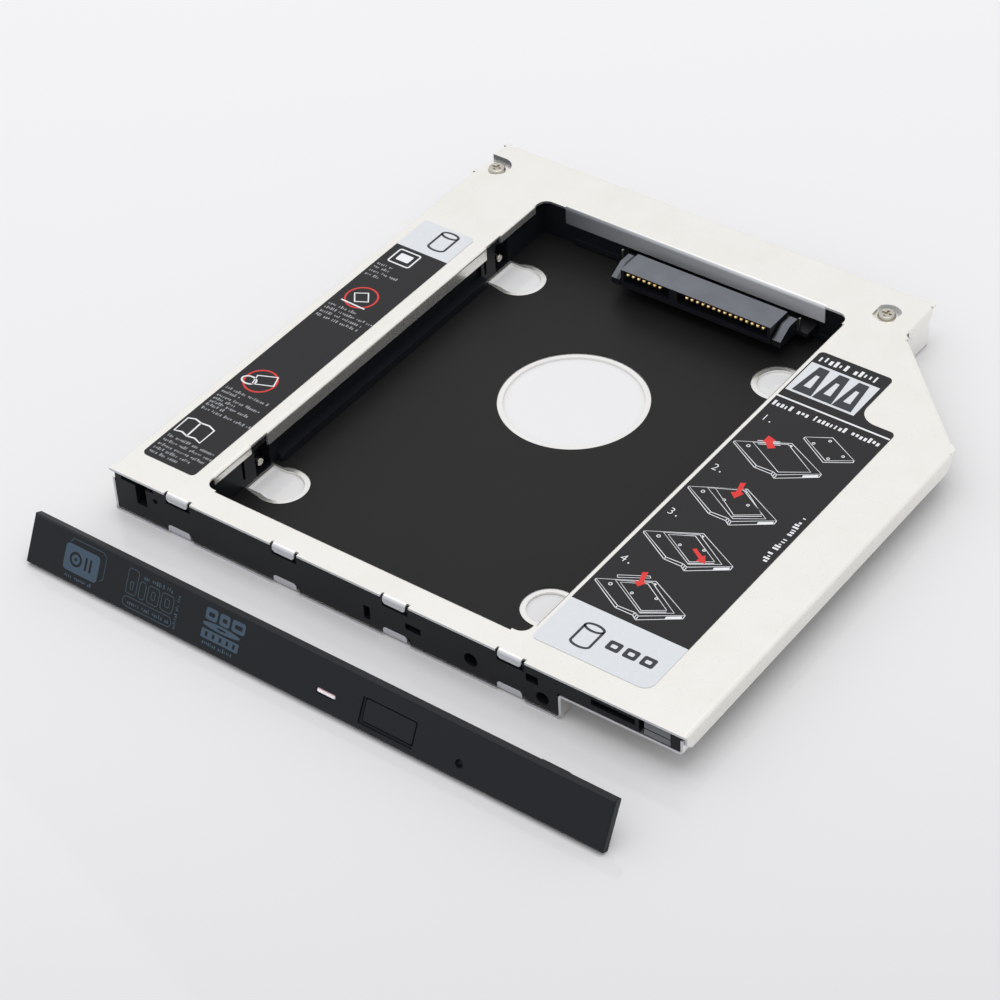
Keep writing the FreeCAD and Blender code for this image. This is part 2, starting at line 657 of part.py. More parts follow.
def inner_frame():
    """Black moulding between the sheets, with its front wall, rails, ledge and seats."""
    slant_gap = (2 * SHEET + SEAM + FRAME_GAP) * math.sqrt(2)
    diagonal = right + corner_front_y - slant_gap
    deep = plate([(frame_left, frame_front, 0), (frame_deep_right, frame_front, 0),
                  (frame_deep_right, frame_rear, 0), (frame_left, frame_rear, 0)],
                 frame_bottom, frame_top)
    wing = plate([(frame_deep_right, frame_front, 0), (frame_right, frame_front, 0),
                  (frame_right, diagonal - frame_right, 0),
                  (frame_deep_right, diagonal - frame_deep_right, 0)], frame_wing_bottom, frame_top)
    body = joined([deep, wing])

    floor = frame_bottom + FRAME_FLOOR
    wing_floor = frame_wing_bottom + FRAME_FLOOR / 2
    cuts = [block(bay_left, bay_right, bay_front, bay_rear, 0, top)]
    core_front = FRAME_WALL + FRAME_RIB
    cuts += cored(frame_left + FRAME_RIB, bay_left - RAIL_WALL, core_front, bay_rear, floor)
    cuts += cored(bay_right + FRAME_RIB, frame_deep_right - FRAME_RIB, core_front, bay_rear, floor)
    cuts += cored(bay_left + FRAME_RIB, bay_right, frame_front + FRAME_WALL, bay_front - FRAME_RIB / 2, floor)
    cuts += cored(frame_deep_right + FRAME_RIB, frame_right - FRAME_RIB, 2 * FRAME_WALL + FRAME_RIB,
                  corner_front_y - 2 * FRAME_WALL, wing_floor)
    far = diagonal - FRAME_RIB * 2
    wing_left = frame_deep_right + FRAME_RIB
    near = corner_front_y - 2 * FRAME_WALL + FRAME_RIB
    cuts.append(plate([(wing_left, near, 0), (far - near - CORE_PITCH / 2, near, 0),
                       (wing_left, far - wing_left - CORE_PITCH / 2, 0)], wing_floor, top))
    boss = left_screw[0] + LEFT_RECESS_RADIUS + SHEET + FRAME_RIB
    cuts += cored(boss, board_left - 2 * FRAME_RIB, bay_rear + FRAME_RIB, frame_rear - FRAME_RIB, floor)
    cuts += board_seat()
    cuts += front_wall_cuts()
    cuts += rail_cuts()
    cuts.append(left_recess(LEFT_RECESS_RADIUS + SHEET + FRAME_GAP, shelf_bottom - FRAME_GAP, top))
    x, y = right_screw
    span = RIGHT_RECESS_RADIUS + FRAME_GAP
    cuts.append(block(x - span, x + span, y - span, y + span, shelf_bottom - FRAME_GAP, top))
    for x, y in (left_screw, right_screw):
        cuts.append(upright(x, y, shelf_top - COVER_SCREW_LENGTH - FRAME_GAP, top,
                            SCREW_SHANK_RADIUS + SCREW_FIT))
    body = cut_all(body, cuts)
    return joined([body] + frame_additions())


def board_seat():
    """Room for the adapter board, its screws and the host connector."""
    inside = bay_rear + FRAME_RIB
    cuts = [block(board_left - BOARD_GAP, board_right + BOARD_GAP, inside, frame_rear - FRAME_RIB,
                  BOARD_BOTTOM, top),
            block(board_left - BOARD_GAP, board_front_right + BOARD_GAP, bay_rear - SEAM, inside,
                  BOARD_BOTTOM, top),
            block(host_left - HOST_GAP, host_right + HOST_GAP, board_rear, rear,
                  HOST_BOTTOM - SEAM, top)]
    for x in board_screw_places:
        cuts.append(upright(x, board_screw_y, frame_bottom - SHEET, top, SCREW_SHANK_RADIUS + SCREW_FIT))
    return cuts


def front_wall_cuts():
    """Seats for the tabs and the holes that the bezel's hooks and the tool go through."""
    deep = front + FRONT_HOLE_DEPTH
    tab_space = SHEET + FRAME_GAP
    through = wall_rear + FRAME_RIB
    cuts = []
    for x, width, edge_z, catch in hooks:
        low = edge_z - HOOK_BARB - HOOK_PLAY if catch < 0 else edge_z - HOOK_ARM - HOOK_BARB - HOOK_PLAY
        high = edge_z + HOOK_ARM + HOOK_BARB + HOOK_PLAY if catch < 0 else top
        cuts.append(block(x - width / 2 - HOOK_PLAY, x + width / 2 + HOOK_PLAY, wall_rear,
                          wall_rear + HOOK_BARB_LENGTH + 2 * HOOK_PLAY, low, high))
    for start in tab_starts:
        x0 = start - RELIEF_WIDTH / 2
        x1 = start + TAB_WIDTH + RELIEF_WIDTH / 2
        cuts.append(block(x0, x1, front, front + tab_space, top - TOP_TAB - FRAME_GAP, top))
        cuts.append(block(x0, x1, front, front + tab_space, 0, BOTTOM_TAB + FRAME_GAP))
    half = LATCH_HOLE_WIDTH / 2
    cuts.append(block(latch_x - half, latch_x + half, front, through, latch_bottom, latch_top))
    cuts.append(block(latch_x - LATCH_GROOVE_LEFT, latch_x + LATCH_GROOVE_RIGHT, front, deep, latch_top, top))
    cuts.append(bored(left + KEY_HOLE_FROM_LEFT, top - KEY_HOLE_DROP, front, deep, KEY_HOLE_RADIUS))
    holes = [(rib_x, REST_RIB_WIDTH + 2 * RIB_SLOT_PLAY, REST_RIB_LOW - BEZEL_UNDERHANG - HOOK_PLAY,
              REST_RIB_HEIGHT + 2 * HOOK_PLAY),
             (step_x - LED_HOLE_FROM_STEP, LED_HOLE_WIDTH, LED_HOLE_Z - LED_HOLE_HEIGHT / 2, LED_HOLE_HEIGHT),
             (snap_x, SNAP_HOLE_WIDTH, snap_top - SNAP_HOLE_HEIGHT, SNAP_HOLE_HEIGHT),
             (wing_slot_x, WING_SLOT_WIDTH, wing_slot_top - WING_SLOT_HEIGHT, WING_SLOT_HEIGHT)]
    for x, width, low, height in holes:
        cuts.append(block(x - width / 2, x + width / 2, front, through, low, low + height))
    cuts.append(bored(button_x, BUTTON_Z, front, through, BUTTON_HOLE_RADIUS))
    cuts.append(bored(pinhole_x, PINHOLE_Z, front, through, PINHOLE_GUIDE_RADIUS))
    clip_right = right - CLIP_FROM_SIDE + CLIP_GAP
    clip_left = clip_right - CLIP_WIDTH - 2 * CLIP_GAP - CLIP_LEAD
    cuts.append(block(clip_left, clip_right, front, frame_front + CLIP_DEPTH + CLIP_GAP, 0, top))
    return cuts


def rail_cuts():
    """Relief, pin pockets and slots of the left rail."""
    first, last = drive_hole_rows
    cuts = [block(bay_left - RAIL_RELIEF, bay_left, first + LEDGE_END_GAP, last - LEDGE_END_GAP,
                  LEDGE_TOP, top)]
    for y in drive_hole_rows:
        pocket = y - PIN_POCKET_LEAD
        cuts.append(block(bay_left - PIN_POCKET_DEPTH, bay_left, pocket, pocket + PIN_POCKET_WIDTH,
                          film_top, PIN_POCKET_TOP))
        slot = y - RAIL_SLOT_LEAD
        cuts.append(block(bay_left - RAIL_SLOT_DEPTH, bay_left, slot - RAIL_SLOT_WIDTH / 2,
                          slot + RAIL_SLOT_WIDTH / 2, RAIL_SLOT_BOTTOM, RAIL_SLOT_TOP))
    return cuts


def frame_additions():
    """Ledge along the left rail and the ribs on the rear wall."""
    first, last = drive_hole_rows
    ledge_right = bay_left + LEDGE_WIDTH
    ledge_front = first + LEDGE_END_GAP
    ledge_rear = last - LEDGE_END_GAP
    ledge = plate([(bay_left, ledge_front, 0), (ledge_right, ledge_front, LEDGE_WIDTH / 2),
                   (ledge_right, ledge_rear, LEDGE_WIDTH / 2), (bay_left, ledge_rear, 0)],
                  film_top + LEDGE_GAP, LEDGE_TOP)
    ribs = []
    rib_front = bay_rear - REAR_RIB_DEPTH
    rib_left = bay_left + LEFT_RIB_FROM_CORNER
    rib_right = bay_right - RIGHT_RIB_FROM_CORNER
    for x0, x1 in ((rib_left, rib_left + LEFT_RIB_LENGTH), (rib_right - RIGHT_RIB_LENGTH, rib_right)):
        ribs.append(block(x0, x1, rib_front, bay_rear, REAR_RIB_BOTTOM, REAR_RIB_TOP))
    return [ledge] + ribs


def insulator_film():
    """Film on the base, cut out wider than the holes in the metal."""
    body = plate(rectangle(bay_left + SEAM, bay_right - SEAM, bay_front + SEAM, bay_rear - SEAM, 0),
                 SHEET, film_top)
    centre = upright(opening_x, centre_hole_y, 0, top, CENTRE_HOLE_RADIUS + FILM_SETBACK)
    return cut_all(body, [centre] + drive_holes(FILM_SETBACK, DRIVE_SLOT_RIM, 0))


def side_pins():
    """Pins in the left rail that enter the side holes of the drive."""
    pins = []
    for y in drive_hole_rows:
        base = Vector(bay_left - PIN_POCKET_DEPTH, y + PIN_RADIUS / 2, film_top + 3.0)
        pins.append(Part.makeCylinder(PIN_RADIUS, PIN_POCKET_DEPTH + PIN_REACH, base, Vector(1, 0, 0)))
    return Part.makeCompound(pins)


def wing_clip():
    """Strip folded into a channel with a slit along its front."""
    clip_right = right - CLIP_FROM_SIDE
    low = frame_wing_bottom
    high = frame_top
    middle = (low + high) / 2
    face = frame_front
    back = face + CLIP_DEPTH
    t = CLIP_SHEET
    slit = CLIP_SLIT / 2
    corners = [(face, low, t), (face, middle - slit, 0), (face + t, middle - slit, 0), (face + t, low + t, 0),
               (back - t, low + t, 0), (back - t, high - t, 0), (face + t, high - t, 0),
               (face + t, middle + slit, 0), (face, middle + slit, 0), (face, high, t),
               (back, high, 0), (back, low, 0)]
    return section_along_x(corners, clip_right - CLIP_WIDTH, clip_right)


def drive_connector():
    """Socket for the drive, with its mouth, key wall, contact slots and guide arms."""
    x0 = connector_x - connector_half
    x1 = connector_x + connector_half
    body = block(x0, x1, connector_front, connector_rear, CONNECTOR_BOTTOM, CONNECTOR_TOP)
    mouth_rear = connector_front + MOUTH_DEPTH
    key_x = (last_signal_x + first_power_x) / 2
    cuts = []
    for m0, m1 in ((first_signal_x - MOUTH_END, key_x - KEY_WALL / 2),
                   (key_x + KEY_WALL / 2, connector_x + contact_span / 2 + MOUTH_END)):
        cuts.append(block(m0, m1, connector_front - SEAM, mouth_rear, MOUTH_BOTTOM, MOUTH_TOP))
    slot_half = CONTACT_WIDTH / 2 + CONTACT_SLOT
    for x in contact_places():
        cuts.append(block(x - slot_half, x + slot_half, mouth_rear - SEAM, connector_rear + SEAM,
                          MOUTH_TOP - CONTACT_THICKNESS - 2 * CONTACT_SLOT, MOUTH_TOP))
    body = cut_all(body, cuts)
    arms = []
    for side in (-1, 1):
        inner = connector_x + side * (connector_half + CONNECTOR_ARM_GAP)
        outer = inner + side * (CONNECTOR_ARM_WIDTH - CONNECTOR_ARM_GAP)
        corners = [(connector_front, CONNECTOR_BOTTOM, 0),
                   (connector_front, CONNECTOR_ARM_TOP - CONNECTOR_ARM_NOSE, 0),
                   (connector_front + CONNECTOR_ARM_SLOPE, CONNECTOR_ARM_TOP, 0),
                   (connector_rear, CONNECTOR_ARM_TOP, 0), (connector_rear, CONNECTOR_BOTTOM, 0)]
        arm = section_along_x(corners, min(inner, outer), max(inner, outer))
        web_inner = connector_x + side * connector_half
        web = block(min(web_inner, inner), max(web_inner, inner), connector_front + CONNECTOR_ARM_GAP,
                    connector_rear, CONNECTOR_BOTTOM, CONNECTOR_ARM_TOP - CONNECTOR_ARM_WIDTH)
        arms += [arm, web]
    return joined([body] + arms)


def contact_places():
    """Places of all the drive contacts, signal first."""
    signal = [first_signal_x + CONTACT_PITCH * i for i in range(SIGNAL_COUNT)]
    power = [first_power_x + CONTACT_PITCH * i for i in range(POWER_COUNT)]
    return signal + power


def drive_contact(x):
    """Contact from its turned-down tip in the mouth, through the back wall, to its foot on the board."""
    t = CONTACT_THICKNESS
    high = MOUTH_TOP - CONTACT_SLOT
    low = high - t
    tip = connector_front + CONTACT_SETBACK
    down = connector_rear + SEAM
    foot = down + CONTACT_FOOT
    corners = [(tip, high - CONTACT_TIP, 0), (tip + t, high - CONTACT_TIP, 0), (tip + t, low, 0),
               (down, low, 0), (down, board_top, 0), (foot, board_top, 0), (foot, board_top + t, 0),
               (down + t, board_top + t, 0), (down + t, high, 0), (tip, high, 0)]
    return section_along_x(corners, x - CONTACT_WIDTH / 2, x + CONTACT_WIDTH / 2)


def connector_locks():
    """Lugs that hold the drive connector to the board."""
    lugs = []
    for x in (connector_x - connector_half - LEFT_LOCK_FROM_END,
              connector_x + connector_half + RIGHT_LOCK_FROM_END):
        lugs.append(block(x - LOCK_WIDTH / 2, x + LOCK_WIDTH / 2, connector_rear + SEAM,
                          connector_rear + SEAM + LOCK_DEPTH, board_top, LOCK_TOP))
    return Part.makeCompound(lugs)


def adapter_board():
    """Board between the two connectors, stepped round the rear wall of the bay."""
    body = plate([(board_left, board_front, 0), (board_front_right, board_front, 0),
                  (board_front_right, board_wide_front, 0), (board_right, board_wide_front, 0),
                  (board_right, board_rear, 0), (board_left, board_rear, 0)], BOARD_BOTTOM, board_top)
    holes = [upright(x, board_screw_y, 0, top, SCREW_SHANK_RADIUS + SCREW_FIT)
             for x in board_screw_places]
    return cut_all(body, holes)


def board_screws():
    """Screws that hold the board to the frame."""
    return Part.makeCompound([screw(x, board_screw_y, board_top, BOARD_SCREW_HEAD_RADIUS, BOARD_SCREW_HEAD,
                                    BOARD_SCREW_LENGTH) for x in board_screw_places])


def host_contact_places():
    """Places of the host contacts: signal, then power."""
    signal_span = CONTACT_PITCH * (HOST_SIGNAL_COUNT - 1)
    power_span = HOST_POWER_PITCH * (HOST_POWER_COUNT - 1)
    first = (host_left + host_right - signal_span - HOST_KEY_PITCH - power_span) / 2
    signal = [first + CONTACT_PITCH * i for i in range(HOST_SIGNAL_COUNT)]
    power = [signal[-1] + HOST_KEY_PITCH + HOST_POWER_PITCH * i for i in range(HOST_POWER_COUNT)]
    return signal, power


def host_connector():
    """Plug at the rear: a shell round a tongue, open towards the laptop."""
    body = plate(rectangle(host_left, host_right, host_front, rear, 0), HOST_BOTTOM, HOST_TOP)
    cavity_front = host_front + HOST_BACK_WALL
    cavity = block(host_left + HOST_WALL, host_right - HOST_WALL, cavity_front, rear + SEAM,
                   HOST_BOTTOM + HOST_WALL, HOST_TOP - HOST_WALL)
    tongue_top = board_top + HOST_CONTACT_THICKNESS
    tongue = block(host_left + 3 * HOST_WALL, host_right - 3 * HOST_WALL, cavity_front - SEAM,
                   rear - HOST_TONGUE_SETBACK, tongue_top - HOST_TONGUE, tongue_top)
    body = joined([body.cut(cavity), tongue])
    signal, power = host_contact_places()
    slot_half = HOST_CONTACT_WIDTH / 2 + CONTACT_SLOT
    slots = [block(x - slot_half, x + slot_half, host_front - SEAM, cavity_front, tongue_top,
                   tongue_top + HOST_CONTACT_THICKNESS + CONTACT_SLOT) for x in signal + power]
    return cut_all(body, slots)


def host_contact(x):
    """Flat contact along the tongue, stepped down to its foot on the board."""
    t = HOST_CONTACT_THICKNESS
    low = board_top + t
    foot = board_rear - CONTACT_FOOT
    far = rear - 2 * HOST_TONGUE_SETBACK
    knee = board_rear - 2 * t
    corners = [(foot, board_top, 0), (knee, board_top, 0), (knee + t, low, 0), (far, low, 0),
               (far, low + t, 0), (knee, low + t, 0), (knee - t, board_top + t, 0), (foot, board_top + t, 0)]
    return section_along_x(corners, x - HOST_CONTACT_WIDTH / 2, x + HOST_CONTACT_WIDTH / 2)


def left_label():
    """Narrow label on the left of the top sheet."""
    corners = rectangle(left + LEFT_LABEL_FROM_SIDE, opening_left - LEFT_LABEL_FROM_OPENING,
                        front + LEFT_LABEL_FROM_FRONT, rear - LEFT_LABEL_FROM_REAR, LABEL_CORNER)
    return plate(corners, top, top + LABEL)


def right_label():
    """Wide label on the right of the opening, stepped in at its rear end."""
    x0 = opening_right + RIGHT_LABEL_FROM_OPENING
    x1 = right - RIGHT_LABEL_FROM_SIDE
    y0 = front + RIGHT_LABEL_FROM_FRONT
    y1 = rear - RIGHT_LABEL_FROM_REAR
    shoulder = y1 - RIGHT_LABEL_HEAD
    corners = [(x0, y0, LABEL_CORNER), (x1, y0, LABEL_FOOT_CORNER), (x1, shoulder, LABEL_CORNER),
               (x1 - RIGHT_LABEL_STEP, shoulder, LABEL_STEP_CORNER),
               (x1 - RIGHT_LABEL_STEP, y1, LABEL_CORNER), (x0, y1, LABEL_CORNER)]
    return plate(corners, top, top + LABEL)


def along_bezel(x):
    """Place on the bezel that meets x on the caddy when the bezel is fitted."""
    return bezel_length / 2 + x


def laid_down(shape):
    """Put a shape from the bezel's own frame where the bezel lies, leaning back on its rib."""
    lean = FreeCAD.Rotation(Vector(1, 0, 0), -bezel_tilt)
    turn = FreeCAD.Rotation(Vector(0, 0, 1), BEZEL_YAW)
    lift = BEZEL_PLATE * math.sin(math.radians(bezel_tilt))
    place = Vector(left - BEZEL_SHIFT, front - BEZEL_DISTANCE, lift)
    shape.Placement = FreeCAD.Placement(place, turn.multiply(lean))
    return shape


def snap_hook(x, width, edge_z, catch):
    """Hook on the back of the bezel that catches behind the frame's front wall.

    edge_z is the edge of the hole that it catches on, and catch is 1 upwards, -1 downwards.
    """
    face = edge_z + BEZEL_UNDERHANG - catch * HOOK_PLAY
    back = face - catch * HOOK_ARM
    root = BEZEL_PLATE - SEAM
    neck = BEZEL_PLATE + wall_rear + HOOK_PLAY
    tip = neck + HOOK_BARB_LENGTH
    corners = [(root, back, 0), (tip, back, 0), (tip, face, 0), (neck, face + catch * HOOK_BARB, 0),
               (neck, face, 0), (root, face, 0)]
    middle = along_bezel(x)
    return section_along_x(corners, middle - width / 2, middle + width / 2)


def button_stops():
    """Lips at both ends of the button's pocket, level with the plate's back, that keep it in."""
    middle = along_bezel(button_x)
    end = BUTTON_WIDTH / 2 + BUTTON_RIM_REACH + BUTTON_PLAY
    low = BUTTON_Z + BEZEL_UNDERHANG - BUTTON_HEIGHT / 4
    high = low + BUTTON_HEIGHT / 2
    face = BUTTON_SKIN + BUTTON_RIM_GAP + BUTTON_RIM + BUTTON_TRAVEL + BUTTON_STOP_GAP
    lips = []
    for side in (-1, 1):
        outer = middle + side * (end + BUTTON_PLAY)
        inner = middle + side * (end - BUTTON_PLAY - STOP_LIP_COVER)
        lips.append(block(min(inner, outer), max(inner, outer), face, BEZEL_PLATE, low, high))
    return lips


def bezel():
    """Front plate with its windows, hooks, rest rib and the stops of the button."""
    body = block(0, bezel_length, 0, BEZEL_PLATE, 0, bezel_height)
    rim = [edge for edge in body.Edges if all(abs(vertex.Y) < 1e-6 for vertex in edge.Vertexes)]
    body = body.makeChamfer(BEZEL_CHAMFER, rim)
    rib_middle = along_bezel(rib_x)
    rib_tip = BEZEL_PLATE + REST_RIB_REACH
    rib_top = REST_RIB_LOW + REST_RIB_HEIGHT
    root = BEZEL_PLATE - SEAM
    corners = [(root, REST_RIB_LOW, 0), (rib_tip, REST_RIB_LOW, 0), (rib_tip, rib_top, REST_RIB_WIDTH),
               (root, rib_top, 0)]
    rib = section_along_x(corners, rib_middle - REST_RIB_WIDTH / 2, rib_middle + REST_RIB_WIDTH / 2)
    body = joined([body, rib] + [snap_hook(*hook) for hook in hooks])
    x = along_bezel(button_x)
    z = BUTTON_Z + BEZEL_UNDERHANG
    half = BUTTON_WIDTH / 2 + BUTTON_PLAY
    tall = BUTTON_HEIGHT / 2 + BUTTON_PLAY
    pocket = block(x - half - BUTTON_RIM_REACH, x + half + BUTTON_RIM_REACH, BUTTON_SKIN, BEZEL_PLATE + SHEET,
                   z - tall - BUTTON_RIM_REACH / 2, z + tall + BUTTON_RIM_REACH / 2)
    lens = rounded_bar(along_bezel(lens_x), LENS_Z + BEZEL_UNDERHANG, LENS_WIDTH, LENS_HEIGHT, BUTTON_CORNER,
                       -SHEET, BEZEL_PLATE + SHEET)
    window = rounded_bar(x, z, 2 * half, 2 * tall, BUTTON_CORNER, -SHEET, BEZEL_PLATE)
    pinhole = bored(along_bezel(pinhole_x), PINHOLE_Z + BEZEL_UNDERHANG, -SHEET, BEZEL_PLATE + SHEET,
                    PINHOLE_RADIUS)
    body = cut_all(body, [pocket, window, lens, pinhole])
    return laid_down(joined([body] + button_stops()))


def rounded_bar(x, z, width, height, corner, y0, y1):
    """Bar along Y with a rounded rectangular section."""
    half = width / 2
    tall = height / 2
    return section_along_y([(x - half, z - tall, corner), (x + half, z - tall, corner),
                            (x + half, z + tall, corner), (x - half, z + tall, corner)], y0, y1)


def eject_button():
    """Button cap with the rim that keeps it in and the post that works the drive."""
    x = along_bezel(button_x)
    z = BUTTON_Z + BEZEL_UNDERHANG
    rim_front = BUTTON_SKIN + BUTTON_RIM_GAP
    rim_rear = rim_front + BUTTON_RIM
    cap = rounded_bar(x, z, BUTTON_WIDTH, BUTTON_HEIGHT, BUTTON_CORNER, 0, rim_front + SEAM)
    face = [edge for edge in cap.Edges if all(abs(vertex.Y) < 1e-6 for vertex in edge.Vertexes)]
    cap = cap.makeChamfer(BUTTON_PLAY / 2, face)
    half = BUTTON_WIDTH / 2 + BUTTON_RIM_REACH
    tall = BUTTON_HEIGHT / 2 + BUTTON_RIM_REACH / 2
    rim = block(x - half, x + half, rim_front, rim_rear, z - tall, z + tall)
    post = bored(x, z, rim_rear - SEAM, BEZEL_PLATE + BUTTON_POST_REACH, BUTTON_POST_RADIUS)
    return laid_down(joined([cap, rim, post]))


def led_lens():
    """Lens that fills its window in the bezel."""
    body = rounded_bar(along_bezel(lens_x), LENS_Z + BEZEL_UNDERHANG, LENS_WIDTH - 2 * LENS_PLAY,
                       LENS_HEIGHT - 2 * LENS_PLAY, BUTTON_CORNER - LENS_PLAY, LENS_PLAY, BEZEL_PLATE)
    return laid_down(body)


def pieces():
    """Every piece of the caddy by name, in the frame in which it is made."""
    signal, power = host_contact_places()
    drive = contact_places()
    left_x, left_y = left_screw
    right_x, right_y = right_screw
    return {
        "top_cover": top_cover(),
        "bottom_cover": bottom_cover(),
        "inner_frame": inner_frame(),
        "insulator_film": insulator_film(),
        "side_pins": side_pins(),
        "wing_clip": wing_clip(),
        "drive_connector": drive_connector(),
        "drive_signal_contacts": Part.makeCompound([drive_contact(x) for x in drive[:SIGNAL_COUNT]]),
        "drive_power_contacts": Part.makeCompound([drive_contact(x) for x in drive[SIGNAL_COUNT:]]),
        "connector_locks": connector_locks(),
        "adapter_board": adapter_board(),
        "board_screws": board_screws(),
        "host_connector": host_connector(),
        "host_signal_contacts": Part.makeCompound([host_contact(x) for x in signal]),
        "host_power_contacts": Part.makeCompound([host_contact(x) for x in power]),
        "rear_left_screw": screw(left_x, left_y, shelf_top, COVER_SCREW_HEAD_RADIUS, COVER_SCREW_HEAD,
                                 COVER_SCREW_LENGTH),
        "rear_right_screw": screw(right_x, right_y, shelf_top, COVER_SCREW_HEAD_RADIUS, COVER_SCREW_HEAD,
                                  COVER_SCREW_LENGTH),
        "left_label": left_label(),
        "right_label": right_label(),
        "bezel": bezel(),
        "eject_button": eject_button(),
        "led_lens": led_lens(),
    }


def main():
    """Make every piece, move the whole so that its footprint is centred, and write it out."""
    made = pieces()
    span = FreeCAD.BoundBox()
    for shape in made.values():
        span.add(shape.optimalBoundingBox(False, False))
    shift = Vector(-(span.XMin + span.XMax) / 2, -(span.YMin + span.YMax) / 2, 0)
    os.makedirs("parts", exist_ok=True)
    for name, shape in made.items():
        moved = shape.copy()
        moved.translate(shift)
        moved.exportStep("parts/" + name + ".step")
        print(name, len(moved.Solids), "solids", round(moved.Volume, 2), "mm3", moved.isValid())
    print("footprint centre moved by", round(shift.x, 4), round(shift.y, 4))
    print("lowest point", round(span.ZMin, 4))


main()
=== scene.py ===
"""Laptop drive caddy: looks, camera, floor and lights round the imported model.

Lengths are given in millimetres from the middle of the caddy's front edge, as in the
source of the solids, and at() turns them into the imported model's metres.
"""
import math
import random

import bpy
from mathutils import Matrix, Vector


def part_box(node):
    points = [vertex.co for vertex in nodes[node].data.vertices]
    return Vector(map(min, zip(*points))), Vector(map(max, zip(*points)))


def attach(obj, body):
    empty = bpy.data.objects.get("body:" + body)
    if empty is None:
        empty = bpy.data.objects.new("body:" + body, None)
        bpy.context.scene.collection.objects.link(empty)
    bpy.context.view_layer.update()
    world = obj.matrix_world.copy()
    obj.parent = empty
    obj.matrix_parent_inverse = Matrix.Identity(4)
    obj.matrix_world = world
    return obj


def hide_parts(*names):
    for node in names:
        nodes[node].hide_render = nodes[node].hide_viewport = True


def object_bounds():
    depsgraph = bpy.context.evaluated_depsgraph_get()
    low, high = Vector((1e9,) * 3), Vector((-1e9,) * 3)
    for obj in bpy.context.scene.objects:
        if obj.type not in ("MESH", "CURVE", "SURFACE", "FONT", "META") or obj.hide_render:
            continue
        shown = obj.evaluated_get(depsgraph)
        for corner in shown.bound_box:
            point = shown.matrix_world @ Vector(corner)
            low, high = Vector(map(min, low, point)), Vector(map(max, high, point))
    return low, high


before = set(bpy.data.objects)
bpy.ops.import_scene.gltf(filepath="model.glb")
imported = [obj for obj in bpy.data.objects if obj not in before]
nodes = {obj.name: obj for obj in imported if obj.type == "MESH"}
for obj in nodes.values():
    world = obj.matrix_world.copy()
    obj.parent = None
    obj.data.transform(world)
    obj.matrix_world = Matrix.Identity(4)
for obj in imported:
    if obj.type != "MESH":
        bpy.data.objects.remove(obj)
cad_low, cad_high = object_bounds()

MM = 0.001
COVER_LEFT = -64.0
COVER_FRONT = 0.0
cover_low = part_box("top_cover")[0]
SHIFT = Vector((cover_low.x - COVER_LEFT * MM, cover_low.y - COVER_FRONT * MM, 0.0))

# Copies of the solids: points closer than this are merged, and faces within so many degrees joined
MERGE_DISTANCE = 0.0005
FLAT_ANGLE = 0.4
SHARP_ANGLE = 30
CREASE_ANGLE = 38

# The folded sheets
REAR_LIP_FROM = 112.0
FRONT_TABS_TO = 1.0
# The rear lip's colour darkens from here towards its left end: a painted reflection of dark surroundings
LIP_PAINTED_DARK_END = -41.0
LIP_PALE_END = 5.0
TAB_STARTS = (-50.2, -25.1, 0.0, 25.1)
LEFT_DRIVE_HOLES = (21.4, 98.0)

# The drive socket
CONTACT_PITCH = 1.27
FIRST_SIGNAL_X = -18.675
FIRST_POWER_X = -4.705
SIGNAL_X = [FIRST_SIGNAL_X + CONTACT_PITCH * i for i in range(7)]
POWER_X = [FIRST_POWER_X + CONTACT_PITCH * i for i in range(15)]
NOSE_Y = 104.36
NOSE_Z = 6.8
NOSE_RADIUS = 0.4
CONTACT_FOOT_FROM = 109.0
SOCKET_MIDDLE = -3.0
MOUTH_HALF_WIDTH = 18.5
MOUTH_ROOF = 7.0

# The cup round the rear right screw
CUP_PLACE = (32.5, 118.25, 8.15)
CUP_FLOOR_RADIUS = 3.0
CUP_HOLE_RADIUS = 1.05
CUP_FLOOR = 0.25
CUP_RADIUS = 3.03
CUP_BORE_RADIUS = 2.88
CUP_DEPTH = 0.85

# The bezel, whose face is measured from its lower left corner: along it, up it, and out of it
BEZEL_CORNER = (-66.95, -21.43, 0.798)
BEZEL_YAW = math.radians(-0.52)
BEZEL_TILT = math.radians(26.307)
BUTTON_LEDGE = ((77.65, 1.2, -0.35), (89.4, 6.33, 0.5))
PINHOLE = (99.1, 2.925)
SLEEVE_BACK = -3.4
SLEEVE_LENGTH = 1.6
SLEEVE_RADIUS = 1.1
SLEEVE_HOLE_RADIUS = 0.8

# The prints
LABEL_TOP = 9.62
LEFT_LABEL_PALE_FROM = 85.0
RIGHT_LABEL_PALE_TO = 18.1
LABEL_BLACK = "1C1C1E"
LABEL_SILVER = "C7CACE"
PRINT_RISE = 0.012
NUMERAL_SIZE = 2.6
NUMERAL_OFFSET = -0.03
HAIRLINE = 0.17

# The studio
TABLE_SIZE = 6000.0
TABLE_GAP = 0.02
# How far the table's painted shade reaches either way from the middle
TABLE_PAINTED_SHADE_REACH = 300.0
LAMP_TARGET = (0, 55, 0)
CAMERA_PLACE = (270.477, -309.641, 382.298)
CAMERA_RIGHT = (0.80804786, 0.58758951, -0.04239369)
CAMERA_UP = (-0.35723555, 0.54594444, 0.75784394)
CAMERA_BACK = (0.46844574, -0.59722964, 0.6510571)
CAMERA_LENS = 113.42
CAMERA_SENSOR = 36.0
CAMERA_NEAR = 10.0


def at(x, y, z=0.0):
    """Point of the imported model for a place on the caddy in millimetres."""
    return Vector((x * MM, y * MM, z * MM)) + SHIFT


# Shader nodes

def srgb(code):
    """Linear colour from an sRGB hex code."""
    channels = []
    for i in (0, 2, 4):
        value = int(code[i:i + 2], 16) / 255
        channels.append(value / 12.92 if value <= 0.04045 else ((value + 0.055) / 1.055) ** 2.4)
    return (*channels, 1.0)


